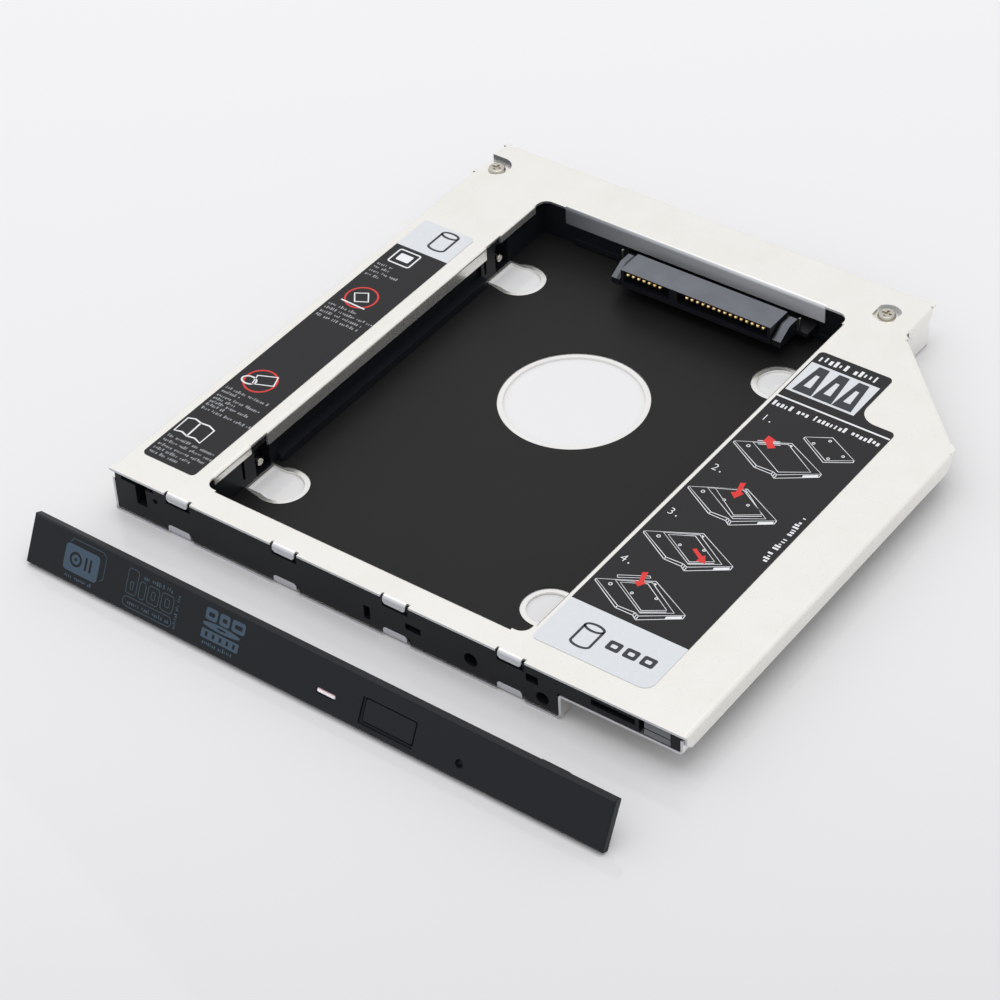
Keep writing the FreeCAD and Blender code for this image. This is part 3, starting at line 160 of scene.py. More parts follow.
def add(tree, kind, inputs=None, **settings):
    """Add a shader node, then set or link its inputs."""
    made = tree.nodes.new("ShaderNode" + kind)
    for name, value in settings.items():
        setattr(made, name, value)
    for name, value in (inputs or {}).items():
        if isinstance(value, bpy.types.NodeSocket):
            tree.links.new(value, made.inputs[name])
        else:
            made.inputs[name].default_value = value
    return made


def calculate(tree, operation, *values, **settings):
    """Result of a math node."""
    return add(tree, "Math", dict(enumerate(values)), operation=operation, **settings).outputs["Value"]


def noise(tree, place, size, detail):
    """Noise from 0 to 1 whose features are about size millimetres wide."""
    return add(tree, "TexNoise", {"Vector": place, "Scale": 1 / (size * MM), "Detail": detail}).outputs["Fac"]


def axes_of(tree, vector):
    """The X, Y and Z of a vector."""
    return add(tree, "SeparateXYZ", {"Vector": vector}).outputs


def facing(tree, axis):
    """How far the surface faces along an axis, from -1 to 1."""
    return axes_of(tree, add(tree, "NewGeometry").outputs["Normal"])[axis]


def rise(tree, value, start, end):
    """Go from 0 to 1 while value goes from start to end."""
    return add(tree, "MapRange", {"Value": value, "From Min": start, "From Max": end}).outputs["Result"]


def spread(tree, value, low, high):
    """Map a 0 to 1 value to low to high."""
    return add(tree, "MapRange", {"Value": value, "To Min": low, "To Max": high}).outputs["Result"]


def mix(tree, amount, first, second):
    """First colour, which gives way to the second as amount goes from 0 to 1."""
    return add(tree, "MixRGB", {"Fac": amount, "Color1": first, "Color2": second}).outputs["Color"]


def ramp(tree, value, *stops):
    """Colour ramp over value, with (position, hex code) stops."""
    made = add(tree, "ValToRGB", {"Fac": value})
    elements = made.color_ramp.elements
    while len(elements) < len(stops):
        elements.new(0.5)
    for element, (position, code) in zip(elements, stops):
        element.position = position
        element.color = srgb(code)
    return made.outputs["Color"]


def shade(tree, colour, value, low, high):
    """Darken and lighten a colour from low to high over a 0 to 1 value."""
    level = spread(tree, value, low, high)
    return add(tree, "HueSaturation", {"Color": colour, "Value": level}).outputs["Color"]


def bump(tree, height, strength, depth):
    """Normal of a surface with a relief of so many millimetres."""
    relief = {"Height": height, "Strength": strength, "Distance": depth * MM}
    return add(tree, "Bump", relief).outputs["Normal"]


def start_material(name):
    """Empty material with its tree and the object coordinates."""
    material = bpy.data.materials.new(name)
    material.use_nodes = True
    tree = material.node_tree
    tree.nodes.clear()
    place = add(tree, "TexCoord").outputs["Object"]
    return material, tree, place


def end_material(tree, inputs):
    """Principled surface with these inputs."""
    surface = add(tree, "BsdfPrincipled", inputs)
    add(tree, "OutputMaterial", {"Surface": surface.outputs["BSDF"]})


# Finishes

def zinc_coated_steel(name, pale, dark, rough):
    """Skin-passed zinc-coated sheet: it mirrors its pale surroundings softly, through a thin
    pale haze of oxide, with fine dark pits. The press leaves the front tabs and the drawn rear lip
    dull. The lip's colour is painted darker towards its left end: a painted reflection of dark surroundings."""
    material, tree, place = start_material(name)
    where = axes_of(tree, place)
    faces_front = rise(tree, facing(tree, "Y"), -0.2, -0.6)
    at_rear = calculate(tree, "GREATER_THAN", where["Y"], at(0, REAR_LIP_FROM).y)
    at_front = calculate(tree, "LESS_THAN", where["Y"], at(0, FRONT_TABS_TO).y)
    pressed = calculate(tree, "ADD", at_rear, at_front)
    dull = calculate(tree, "MULTIPLY", faces_front, pressed)
    # Painted reflection: the rear lip's base colour darkens towards its left end, for the dark surroundings
    # it mirrors there
    along_lip = rise(tree, where["X"], at(LIP_PAINTED_DARK_END, 0).x, at(LIP_PALE_END, 0).x)
    lip_tint_and_painted_reflection = ramp(tree, along_lip, (0.0, "5C5F64"), (0.45, "A3A6AB"), (1.0, "BFC1C5"))
    dull_tint_and_painted_reflection = mix(tree, at_front, lip_tint_and_painted_reflection, srgb("C9CBD0"))

    cloud = noise(tree, place, 9, 4.0)
    grain = noise(tree, place, 0.45, 2.0)
    # The rolled pits are 0.1 mm across in the real sheet. They are drawn twice as wide to show.
    cells = {"Vector": place, "Scale": 1 / (0.95 * MM), "Randomness": 0.55}
    clear_of_pits = rise(tree, add(tree, "TexVoronoi", cells).outputs["Distance"], 0.10, 0.19)
    sheet = ramp(tree, cloud, (0.3, dark), (0.6, pale))
    pitted = mix(tree, spread(tree, clear_of_pits, 0.09, 0.0), sheet, srgb("8E8C86"))
    polish = spread(tree, grain, rough - 0.03, rough + 0.04)
    height = calculate(tree, "ADD", grain, clear_of_pits)
    end_material(tree, {"Base Color": mix(tree, dull, pitted, dull_tint_and_painted_reflection),
                        "Metallic": spread(tree, dull, 0.86, 0.25),
                        "Roughness": calculate(tree, "ADD", polish, spread(tree, dull, 0.0, 0.25)),
                        "Normal": bump(tree, height, 0.12, 0.02)})
    return material


def plated_steel(name, colour, rough):
    """Plated steel: small glossy pieces with a slightly uneven plating."""
    material, tree, place = start_material(name)
    cloud = noise(tree, place, 1.2, 3.0)
    end_material(tree, {"Base Color": shade(tree, srgb(colour), cloud, 0.86, 1.08), "Metallic": 1.0,
                        "Roughness": spread(tree, cloud, rough - 0.05, rough + 0.08),
                        "Normal": bump(tree, noise(tree, place, 0.2, 2.0), 0.08, 0.01)})
    return material


def moulded_plastic(name, colour, rough, grit, ior=1.4, relief=0.25):
    """Moulded plastic with a spark-eroded mould's fine grit, and a slightly uneven sheen."""
    material, tree, place = start_material(name)
    cloud = noise(tree, place, 6, 3.0)
    end_material(tree, {"Base Color": shade(tree, srgb(colour), cloud, 0.88, 1.12), "IOR": ior,
                        "Roughness": spread(tree, cloud, rough - 0.05, rough + 0.05),
                        "Normal": bump(tree, noise(tree, place, grit, 3.0), relief, 0.02)})
    return material


def glass_filled_nylon(name):
    """Black glass-filled nylon: satin. Its upward faces outside the socket's mouth are painted a
    lighter grey: a painted sheen, for the light these tops reflect."""
    material, tree, place = start_material(name)
    where = axes_of(tree, place)
    between_arms = calculate(tree, "COMPARE", where["X"], at(SOCKET_MIDDLE, 0).x, MOUTH_HALF_WIDTH * MM)
    below_roof = calculate(tree, "LESS_THAN", where["Z"], MOUTH_ROOF * MM)
    in_mouth = calculate(tree, "MULTIPLY", between_arms, below_roof)
    # Painted sheen: upward faces outside the mouth get a lighter grey base colour
    upward = rise(tree, facing(tree, "Z"), 0.5, 0.95)
    painted_sheen = calculate(tree, "SUBTRACT", upward, in_mouth, use_clamp=True)
    body = mix(tree, painted_sheen, srgb("14161B"), srgb("585C63"))
    cloud = noise(tree, place, 5, 3.0)
    end_material(tree, {"Base Color": shade(tree, body, cloud, 0.7, 1.3), "IOR": 1.5,
                        "Roughness": spread(tree, cloud, 0.25, 0.35),
                        "Normal": bump(tree, noise(tree, place, 0.3, 3.0), 0.3, 0.02)})
    return material


def insulating_film(name):
    """Black polycarbonate film: half gloss, calendered, with faint long ripples where it isn't glued."""
    material, tree, place = start_material(name)
    ripple = noise(tree, place, 28, 2.0)
    grain = noise(tree, place, 0.35, 2.0)
    height = calculate(tree, "ADD", ripple, spread(tree, grain, 0.0, 0.02))
    end_material(tree, {"Base Color": shade(tree, srgb("181819"), ripple, 0.92, 1.1), "IOR": 1.26,
                        "Roughness": spread(tree, grain, 0.36, 0.44),
                        "Normal": bump(tree, height, 0.35, 0.12)})
    return material


def printed_ink(name, colour, rough=0.4, ior=1.4):
    """Screen-printed ink on a satin film: matt, with a faint mottle."""
    material, tree, place = start_material(name)
    mottle = noise(tree, place, 0.8, 3.0)
    end_material(tree, {"Base Color": shade(tree, srgb(colour), mottle, 0.93, 1.05), "IOR": ior,
                        "Roughness": spread(tree, mottle, rough - 0.04, rough + 0.05),
                        "Normal": bump(tree, mottle, 0.1, 0.01)})
    return material


def label_film(name, boundary, side):
    """Printed label: black, and pale on one side of a straight boundary across the caddy."""
    material, tree, place = start_material(name)
    is_pale = calculate(tree, side, axes_of(tree, place)["Y"], at(0, boundary).y)
    field = ramp(tree, is_pale, (0.4, LABEL_BLACK), (0.6, LABEL_SILVER))
    mottle = noise(tree, place, 0.8, 3.0)
    end_material(tree, {"Base Color": shade(tree, field, mottle, 0.95, 1.04), "IOR": 1.3,
                        "Roughness": spread(tree, mottle, 0.36, 0.45),
                        "Normal": bump(tree, mottle, 0.1, 0.01)})
    return material


def gold_plating(name):
    """Gold flash over nickel, warm and glossy, with dull soldered feet on the board."""
    material, tree, place = start_material(name)
    cloud = noise(tree, place, 0.7, 3.0)
    gold = ramp(tree, cloud, (0.3, "E8C27A"), (0.7, "FCE6B4"))
    is_foot = calculate(tree, "GREATER_THAN", axes_of(tree, place)["Y"], at(0, CONTACT_FOOT_FROM).y)
    end_material(tree, {"Base Color": mix(tree, is_foot, gold, srgb("5E6064")), "Metallic": 1.0,
                        "Roughness": spread(tree, cloud, 0.18, 0.3)})
    return material


def milky_lens(name):
    """Milky acrylic light guide: glossy and pale, with a painted pink glow on its upward rim and
    painted shade, blue-grey, on its lower rim."""
    material, tree, place = start_material(name)
    milk = ramp(tree, noise(tree, place, 1.5, 1.0), (0.35, "E9E2E4"), (0.65, "F4F2F3"))
    # Painted shade on the downward faces and a painted pink glow on the upward ones, chosen by face direction
    upward = facing(tree, "Z")
    milk_and_painted_shade = mix(tree, rise(tree, upward, 0.2, 0.0), milk, srgb("7A7F8C"))
    painted_light_tint = mix(tree, rise(tree, upward, 0.6, 0.9), milk_and_painted_shade, srgb("EBC9CE"))
    end_material(tree, {"Base Color": painted_light_tint, "Roughness": 0.16, "IOR": 1.49, "Subsurface Weight": 0.3,
                        "Subsurface Radius": (1.0, 0.9, 0.9), "Subsurface Scale": 0.5 * MM})
    return material


steel_top = zinc_coated_steel("zinc_coated_steel_top", "F2F0EB", "EFEDE7", 0.24)
steel_base = zinc_coated_steel("zinc_coated_steel_base", "F2F1EE", "ECEBE8", 0.22)
frame_plastic = moulded_plastic("black_pc_abs_frame", "14171B", 0.42, 0.25, ior=1.25)
bezel_plastic = moulded_plastic("black_abs_bezel_satin", "14181C", 0.46, 0.22, ior=1.31, relief=0.35)
button_plastic = moulded_plastic("black_abs_button_satin", "13171B", 0.42, 0.22, ior=1.31, relief=0.3)
socket_plastic = glass_filled_nylon("black_glass_filled_nylon")
film_plastic = insulating_film("black_polycarbonate_film")
left_film = label_film("left_label_film", LEFT_LABEL_PALE_FROM, "GREATER_THAN")
right_film = label_film("right_label_film", RIGHT_LABEL_PALE_TO, "LESS_THAN")
label_pale = printed_ink("label_silver_ink", LABEL_SILVER, 0.34)
label_line = printed_ink("label_white_ink", "D5D7DA")
label_grey = printed_ink("label_grey_ink", "8E9094")
label_red = printed_ink("label_red_ink", "C92B28")
label_dark = printed_ink("label_dark_ink", "2E3136", ior=1.35)
bezel_ink = printed_ink("bezel_blue_grey_ink", "3F5060", 0.5, ior=1.32)
bezel_line_ink = printed_ink("bezel_line_ink", "36444F", 0.5, ior=1.32)
spring_steel = plated_steel("grey_spring_steel", "7A7D80", 0.35)
bright_steel = plated_steel("bright_nickel_steel", "C6C2B8", 0.24)
tinned_steel = plated_steel("tinned_steel", "8E8D8B", 0.3)
contact_gold = gold_plating("gold_contact_plating")
board_mask = moulded_plastic("black_solder_mask", "17181A", 0.3, 0.6)
lens_acrylic = milky_lens("milky_acrylic_lens")


# Working with meshes

def label_plane(layer=0):
    """Top of the labels, with later layers of ink over earlier ones."""
    return Matrix.Translation(at(0, 0, LABEL_TOP + (layer + 0.5) * PRINT_RISE))


def bezel_plane():
    """Front face of the bezel: along its length, up its face, and out of it."""
    along = Vector((math.cos(BEZEL_YAW), math.sin(BEZEL_YAW), 0))
    level = Vector((-math.sin(BEZEL_YAW), math.cos(BEZEL_YAW), 0))
    up = Vector((0, 0, math.cos(BEZEL_TILT))) + level * math.sin(BEZEL_TILT)
    out = Vector((0, 0, math.sin(BEZEL_TILT))) - level * math.cos(BEZEL_TILT)
    place = at(*BEZEL_CORNER) + out * 0.5 * PRINT_RISE * MM
    return Matrix.Translation(place) @ Matrix((along, up, out)).transposed().to_4x4()


def only(obj):
    """Deselect everything but obj and make it active."""
    bpy.ops.object.select_all(action="DESELECT")
    obj.select_set(True)
    bpy.context.view_layer.objects.active = obj


def apply_all(obj):
    """Apply every modifier of obj."""
    only(obj)
    for modifier in list(obj.modifiers):
        bpy.ops.object.modifier_apply(modifier=modifier.name)


def settle(obj):
    """Put the object's place into its mesh."""
    only(obj)
    bpy.ops.object.transform_apply(location=True, rotation=True, scale=True)


def link_new(name, data):
    """New object in the scene."""
    obj = bpy.data.objects.new(name, data)
    bpy.context.scene.collection.objects.link(obj)
    return obj


def one_mesh(pieces):
    """Join pieces into one object."""
    only(pieces[0])
    for obj in pieces:
        obj.select_set(True)
    bpy.ops.object.join()
    return pieces[0]


def finish_piece(obj, name, material, body, slot, *replaced):
    """Name a finished piece, give it its finish, and let it ride and stand for its nodes."""
    obj.name = name
    obj.data.name = name
    obj.data.materials.clear()
    obj.data.materials.append(material)
    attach(obj, body)
    if replaced:
        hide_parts(*replaced)


def clean_copy(node):
    """Copy of a CAD node with doubled points merged and flat faces joined up."""
    copy = link_new(node + "_copy", nodes[node].data.copy())
    only(copy)
    bpy.ops.object.mode_set(mode="EDIT")
    bpy.ops.mesh.select_all(action="SELECT")
    bpy.ops.mesh.remove_doubles(threshold=MERGE_DISTANCE * MM)
    bpy.ops.mesh.dissolve_limited(angle_limit=math.radians(FLAT_ANGLE))
    bpy.ops.object.mode_set(mode="OBJECT")
    return copy


def break_edges(copy, width, segments):
    """Break sharp edges by width, with normals that keep large faces flat in reflections."""
    bevel = copy.modifiers.new("edges", "BEVEL")
    bevel.width = width * MM
    bevel.segments = segments
    bevel.limit_method = "ANGLE"
    bevel.angle_limit = math.radians(SHARP_ANGLE)
    bevel.use_clamp_overlap = True
    apply_all(copy)
    bpy.ops.object.shade_smooth_by_angle(angle=math.radians(CREASE_ANGLE))
    weighted = copy.modifiers.new("weighted", "WEIGHTED_NORMAL")
    weighted.keep_sharp = True
    apply_all(copy)


def shift(copy, low, high, move):
    """Move the points of copy between two corners on the caddy by so many millimetres."""
    only(copy)
    mesh = copy.data
    for part in (mesh.polygons, mesh.edges, mesh.vertices):
        part.foreach_set("select", [False] * len(part))
    for vertex in mesh.vertices:
        here = (vertex.co - SHIFT) / MM
        vertex.select = all(low[i] < here[i] < high[i] for i in range(3))
    bpy.ops.object.mode_set(mode="EDIT")
    bpy.ops.mesh.select_mode(type="VERT")
    bpy.ops.transform.translate(value=[step * MM for step in move])
    bpy.ops.object.mode_set(mode="OBJECT")


def sink_pocket(copy, low, high):
    """Cut a block between two corners on the bezel out of copy."""
    middle = [(low[i] + high[i]) / 2 * MM for i in range(3)]
    size = Matrix.Diagonal([(high[i] - low[i]) * MM for i in range(3)] + [1.0])
    bpy.ops.mesh.primitive_cube_add(size=1.0)
    cutter = bpy.context.object
    cutter.matrix_world = bezel_plane() @ Matrix.Translation(middle) @ size
    settle(cutter)
    cut = copy.modifiers.new("pocket", "BOOLEAN")
    cut.operation = "DIFFERENCE"
    cut.solver = "EXACT"
    cut.object = cutter
    apply_all(copy)
    bpy.data.objects.remove(cutter)


# Pieces that stand for the solids

def trim_cover(copy):
    """Shorten the front tabs, end the relief cuts beside them just behind the bend, wider at the
    right, and draw the rear lip down to just above the sockets' board."""
    shift(copy, (-52.0, 1.2, 8.9), (32.0, 1.4, 9.6), (0, -0.42, 0))
    for start in TAB_STARTS:
        shift(copy, (start - 0.1, -0.1, 7.2), (start + 5.4, 0.6, 8.0), (0, 0, 0.5))
        shift(copy, (start + 4.7, -0.1, 7.2), (start + 5.35, 0.85, 9.6), (-0.35, 0, 0))
    shift(copy, (-41.0, 113.5, 6.7), (22.0, 114.2, 6.9), (0, 0, -1.3))


def trim_base(copy):
    """Shift the front tabs a little to the left and let them end higher, and let the front edge
    show as a thin bright line under the front wall."""
    for start in TAB_STARTS:
        shift(copy, (start - 0.1, -0.1, 0.45), (start + 5.4, 0.6, 1.8), (-0.4, 0, 0))
        shift(copy, (start - 0.5, -0.1, 1.0), (start + 5.4, 0.6, 1.8), (0, 0, 0.3))
    shift(copy, (-64.5, -0.1, -0.1), (38.4, 0.05, 0.52), (0, -0.3, 0))


def trim_film(copy):
    """Cut the film straight to the side of the bay in front of the two left drive holes."""
    for y in LEFT_DRIVE_HOLES:
        shift(copy, (-44.3, y - 4.6, 0.4), (-44.0, y - 4.2, 0.8), (0, -0.47, 0))
        shift(copy, (-43.7, y - 4.9, 0.4), (-43.3, y - 4.6, 0.8), (0, -0.21, 0))


def sink_ledge(copy):
    """Sink the shallow ledge that shows along the left and the lower side of the button."""
    sink_pocket(copy, *BUTTON_LEDGE)


def trim_screw(copy):
    """Deepen the cross, lower the head a little, and set the right head as it sits in its recess."""
    shift(copy, (-70.0, 110.0, 8.8), (40.0, 125.0, 8.9), (0, 0, -0.25))
    shift(copy, (-70.0, 110.0, 9.3), (40.0, 125.0, 9.5), (0, 0, -0.15))
    shift(copy, (30.0, 110.0, 8.4), (40.0, 125.0, 9.5), (-0.3, 0.4, 0))


def dress(node, name, material, slot, edge=None, segments=2, body="caddy", trim=None):
    """Let a trimmed copy of a CAD node, with its edges broken by edge, stand for the node."""
    copy = clean_copy(node)
    if trim is not None:
        trim(copy)
    if edge is not None:
        break_edges(copy, edge, segments)
    finish_piece(copy, name, material, body, slot, node)


dress("top_cover", "cover_sheet", steel_top, "top_sheet", 0.07, trim=trim_cover)
dress("bottom_cover", "base_sheet", steel_base, "bottom_sheet", 0.14, trim=trim_base)
dress("inner_frame", "frame_moulding", frame_plastic, "frame_plastic", 0.18)
dress("insulator_film", "floor_film", film_plastic, "film", trim=trim_film)
dress("bezel", "front_bezel", bezel_plastic, "bezel_plastic", 0.1, trim=sink_ledge)
dress("eject_button", "button_cap", button_plastic, "button_plastic", 0.08, body="button")
dress("led_lens", "lens_window", lens_acrylic, "lens", 0.28, segments=1)
dress("drive_connector", "drive_socket_housing", socket_plastic, "connector_plastic", 0.1)
dress("host_connector", "host_plug_housing", socket_plastic, "connector_plastic", 0.1)
dress("wing_clip", "wing_strip", spring_steel, "clip_metal", 0.04)
dress("adapter_board", "joining_board", board_mask, "board", 0.05)
dress("connector_locks", "socket_lugs", tinned_steel, "lock_metal", 0.05)
dress("side_pins", "rail_pins", bright_steel, "pin_metal", 0.15)
dress("rear_left_screw", "rear_left_screw_dressed", bright_steel, "screw_metal", 0.1, trim=trim_screw)
dress("rear_right_screw", "rear_right_screw_dressed", bright_steel, "screw_metal", 0.1, trim=trim_screw)

carried = {"left_label": left_film, "right_label": right_film,
           "drive_signal_contacts": contact_gold, "drive_power_contacts": contact_gold,
           "host_signal_contacts": contact_gold, "host_power_contacts": contact_gold,
           "board_screws": bright_steel}
for name, material in carried.items():
    nodes[name].data.materials.clear()
    nodes[name].data.materials.append(material)


# Small visible parts on the solids

def ring_points(x, y, rx, ry, start=0, end=360, count=40):
    """Ellipse, or part of one with both its ends, as points."""
    is_open = end - start < 360
    turns = [math.radians(start + (end - start) * i / count) for i in range(count + is_open)]
    return [(x + rx * math.cos(turn), y + ry * math.sin(turn)) for turn in turns]


def add_outline(curve, points, closed=True, tilt=0.0):
    """Add straight lines through points in millimetres to a curve."""
    spline = curve.splines.new("POLY")
    spline.points.add(len(points) - 1)
    for point, (x, y) in zip(spline.points, points):
        point.co = (x * MM, y * MM, 0, 1)
        point.tilt = tilt
    spline.use_cyclic_u = closed


def flat_curve(name, outlines, thickness):
    """Filled flat shapes of some thickness; a shape inside another is a hole in it."""
    curve = bpy.data.curves.new(name, "CURVE")
    curve.dimensions = "2D"
    curve.fill_mode = "BOTH"
    curve.extrude = thickness / 2 * MM
    for points in outlines:
        add_outline(curve, points)
    return curve


def mesh_from(curve, plane):
    """Turn a curve into a mesh that lies on plane."""
    only(link_new(curve.name, curve))
    bpy.ops.object.convert(target="MESH")
    obj = bpy.context.view_layer.objects.active
    obj.matrix_world = plane
    settle(obj)
    return obj


def contact_noses(name, places):
    """Rounded noses of the spring contacts, seen as a row under the socket's roof."""
    bpy.ops.mesh.primitive_uv_sphere_add(segments=16, ring_count=8, radius=NOSE_RADIUS * MM,
                                         location=at(places[0], NOSE_Y, NOSE_Z))
    first = bpy.context.object
    settle(first)
    bpy.ops.object.shade_smooth()
    noses = [first]
    for x in places[1:]:
        nose = link_new(name, first.data.copy())
        nose.location = ((x - places[0]) * MM, 0, 0)
        settle(nose)
        noses.append(nose)
    finish_piece(one_mesh(noses), name, contact_gold, "caddy", "contact_plating")


def turned_ring(outer, inner, height, foot):
    """Ring or sleeve of square section, standing on the origin of foot."""
    outlines = [ring_points(0, 0, radius, radius, count=48) for radius in (outer, inner)]
    middle = foot @ Matrix.Translation((0, 0, height / 2 * MM))
    return mesh_from(flat_curve("ring", outlines, height), middle)


contact_noses("signal_contact_noses", SIGNAL_X)
contact_noses("power_contact_noses", POWER_X)
cup_foot = Matrix.Translation(at(*CUP_PLACE))
cup_floor = turned_ring(CUP_FLOOR_RADIUS, CUP_HOLE_RADIUS, CUP_FLOOR, cup_foot)
cup_wall = turned_ring(CUP_RADIUS, CUP_BORE_RADIUS, CUP_DEPTH, cup_foot)
finish_piece(one_mesh([cup_floor, cup_wall]), "screw_recess_cup", steel_top, "caddy", "top_sheet")
sleeve_foot = bezel_plane() @ Matrix.Translation([length * MM for length in (*PINHOLE, SLEEVE_BACK)])
sleeve = turned_ring(SLEEVE_RADIUS, SLEEVE_HOLE_RADIUS, SLEEVE_LENGTH, sleeve_foot)
finish_piece(sleeve, "pinhole_sleeve", bezel_plastic, "caddy", "bezel_plastic")


# Prints: flat shapes a hair thick, on the labels and on the bezel's face

def fill_shapes(name, outlines, plane, material, slot="label_print"):
    """Print filled shapes."""
    obj = mesh_from(flat_curve(name, outlines, PRINT_RISE), plane)
    finish_piece(obj, name, material, "caddy", slot)


def stroke_shapes(name, lines, width, plane, material, slot="label_print"):
    """Print lines of one width: each is a list of points and whether it is closed."""
    curve = bpy.data.curves.new(name, "CURVE")
    curve.dimensions = "3D"
    curve.extrude = width / 2 * MM
    curve.bevel_depth = PRINT_RISE / 2 * MM
    curve.bevel_resolution = 0
    for points, closed in lines:
        add_outline(curve, points, closed, math.pi / 2)
    finish_piece(mesh_from(curve, plane), name, material, "caddy", slot)


def numeral(text, x, y):
    """Print a step number on the label."""
    name = "step_number_" + text
    curve = bpy.data.curves.new(name, "FONT")
    curve.body = text
    curve.size = NUMERAL_SIZE * MM
    curve.offset = NUMERAL_OFFSET * MM
    curve.extrude = PRINT_RISE / 2 * MM
    plane = label_plane() @ Matrix.Translation((x * MM, y * MM, 0))
    finish_piece(mesh_from(curve, plane), name, label_line, "caddy", "label_print")


def bar(x0, x1, y0, y1):
    """Rectangle as an outline."""
    return [(x0, y0), (x1, y0), (x1, y1), (x0, y1)]


def rounded(x0, x1, y0, y1, radius):
    """Rectangle with rounded corners."""
    points = []
    for x, y, start in ((x1, y1, 0), (x0, y1, 90), (x0, y0, 180), (x1, y0, 270)):
        cx = x - radius if x == x1 else x + radius
        cy = y - radius if y == y1 else y + radius
        points += ring_points(cx, cy, radius, radius, start, start + 90, 6)
    return points


def tapered(x, low, high, low_half, high_half):
    """Upright shape round x, with a half width at its lower and at its upper end."""
    return [(x - low_half, low), (x + low_half, low), (x + high_half, high), (x - high_half, high)]


def quarter_turned(outlines, x, y):
    """Shapes turned so that a row of them runs up from (x, y)."""
    return [[(x - v, y + u) for u, v in points] for points in outlines]


def moved(points, x, y):
    """Points moved by x and y."""
    return [(px + x, py + y) for px, py in points]


def word_marks(x, y, length, height, dice):
    """Row of small upright marks in word-like groups. It stands for fine print and can't be read."""
    marks = []
    step = height * 0.62
    here = x
    word = dice.randint(3, 7)
    while here + step * 0.6 < x + length:
        if word == 0:
            word = dice.randint(3, 8)
            here += step
            continue
        low = y + dice.choice((0, 0, 0, 0.2)) * height
        high = y + dice.choice((0.65, 0.65, 0.75, 1.0)) * height
        marks.append(bar(here, here + step * dice.choice((0.35, 0.6, 0.6)), low, high))
        here += step
        word -= 1
    return marks


def print_pale_ends():
    """Dark signs on the labels' pale ends, and a pale field with dark blocks."""
    fill_shapes("label_pale_field", [bar(28.4, 43.35, 87.75, 97.4)], label_plane(), label_pale)
    signs = []
    for x, top, low in ((36.15, 13.65, 9.2), (-54.0, 92.7, 88.0)):
        under_side = ring_points(x, low, 1.95, 0.85, 180, 360, 16)
        signs.append((ring_points(x, top, 1.95, 0.85), True))
        signs.append(([(x - 1.95, top), (x - 1.95, low)] + under_side + [(x + 1.95, low), (x + 1.95, top)],
                      False))
    stroke_shapes("label_drive_signs", signs, 0.5, label_plane(1), label_dark)
    blocks = []
    for x in (40.2, 43.75, 47.3):
        blocks.append(rounded(x, x + 2.75, 10.5, 12.9, 0.45))
        blocks.append(rounded(x + 0.75, x + 2.0, 11.25, 12.15, 0.25))
    for x in (31.6, 36.0, 40.3):
        blocks.append(tapered(x, 88.3, 96.8, 2.1, 1.15))
        blocks.append(tapered(x, 90.3, 94.3, 0.75, 0.4))
    fill_shapes("label_dark_blocks", blocks, label_plane(1), label_dark)


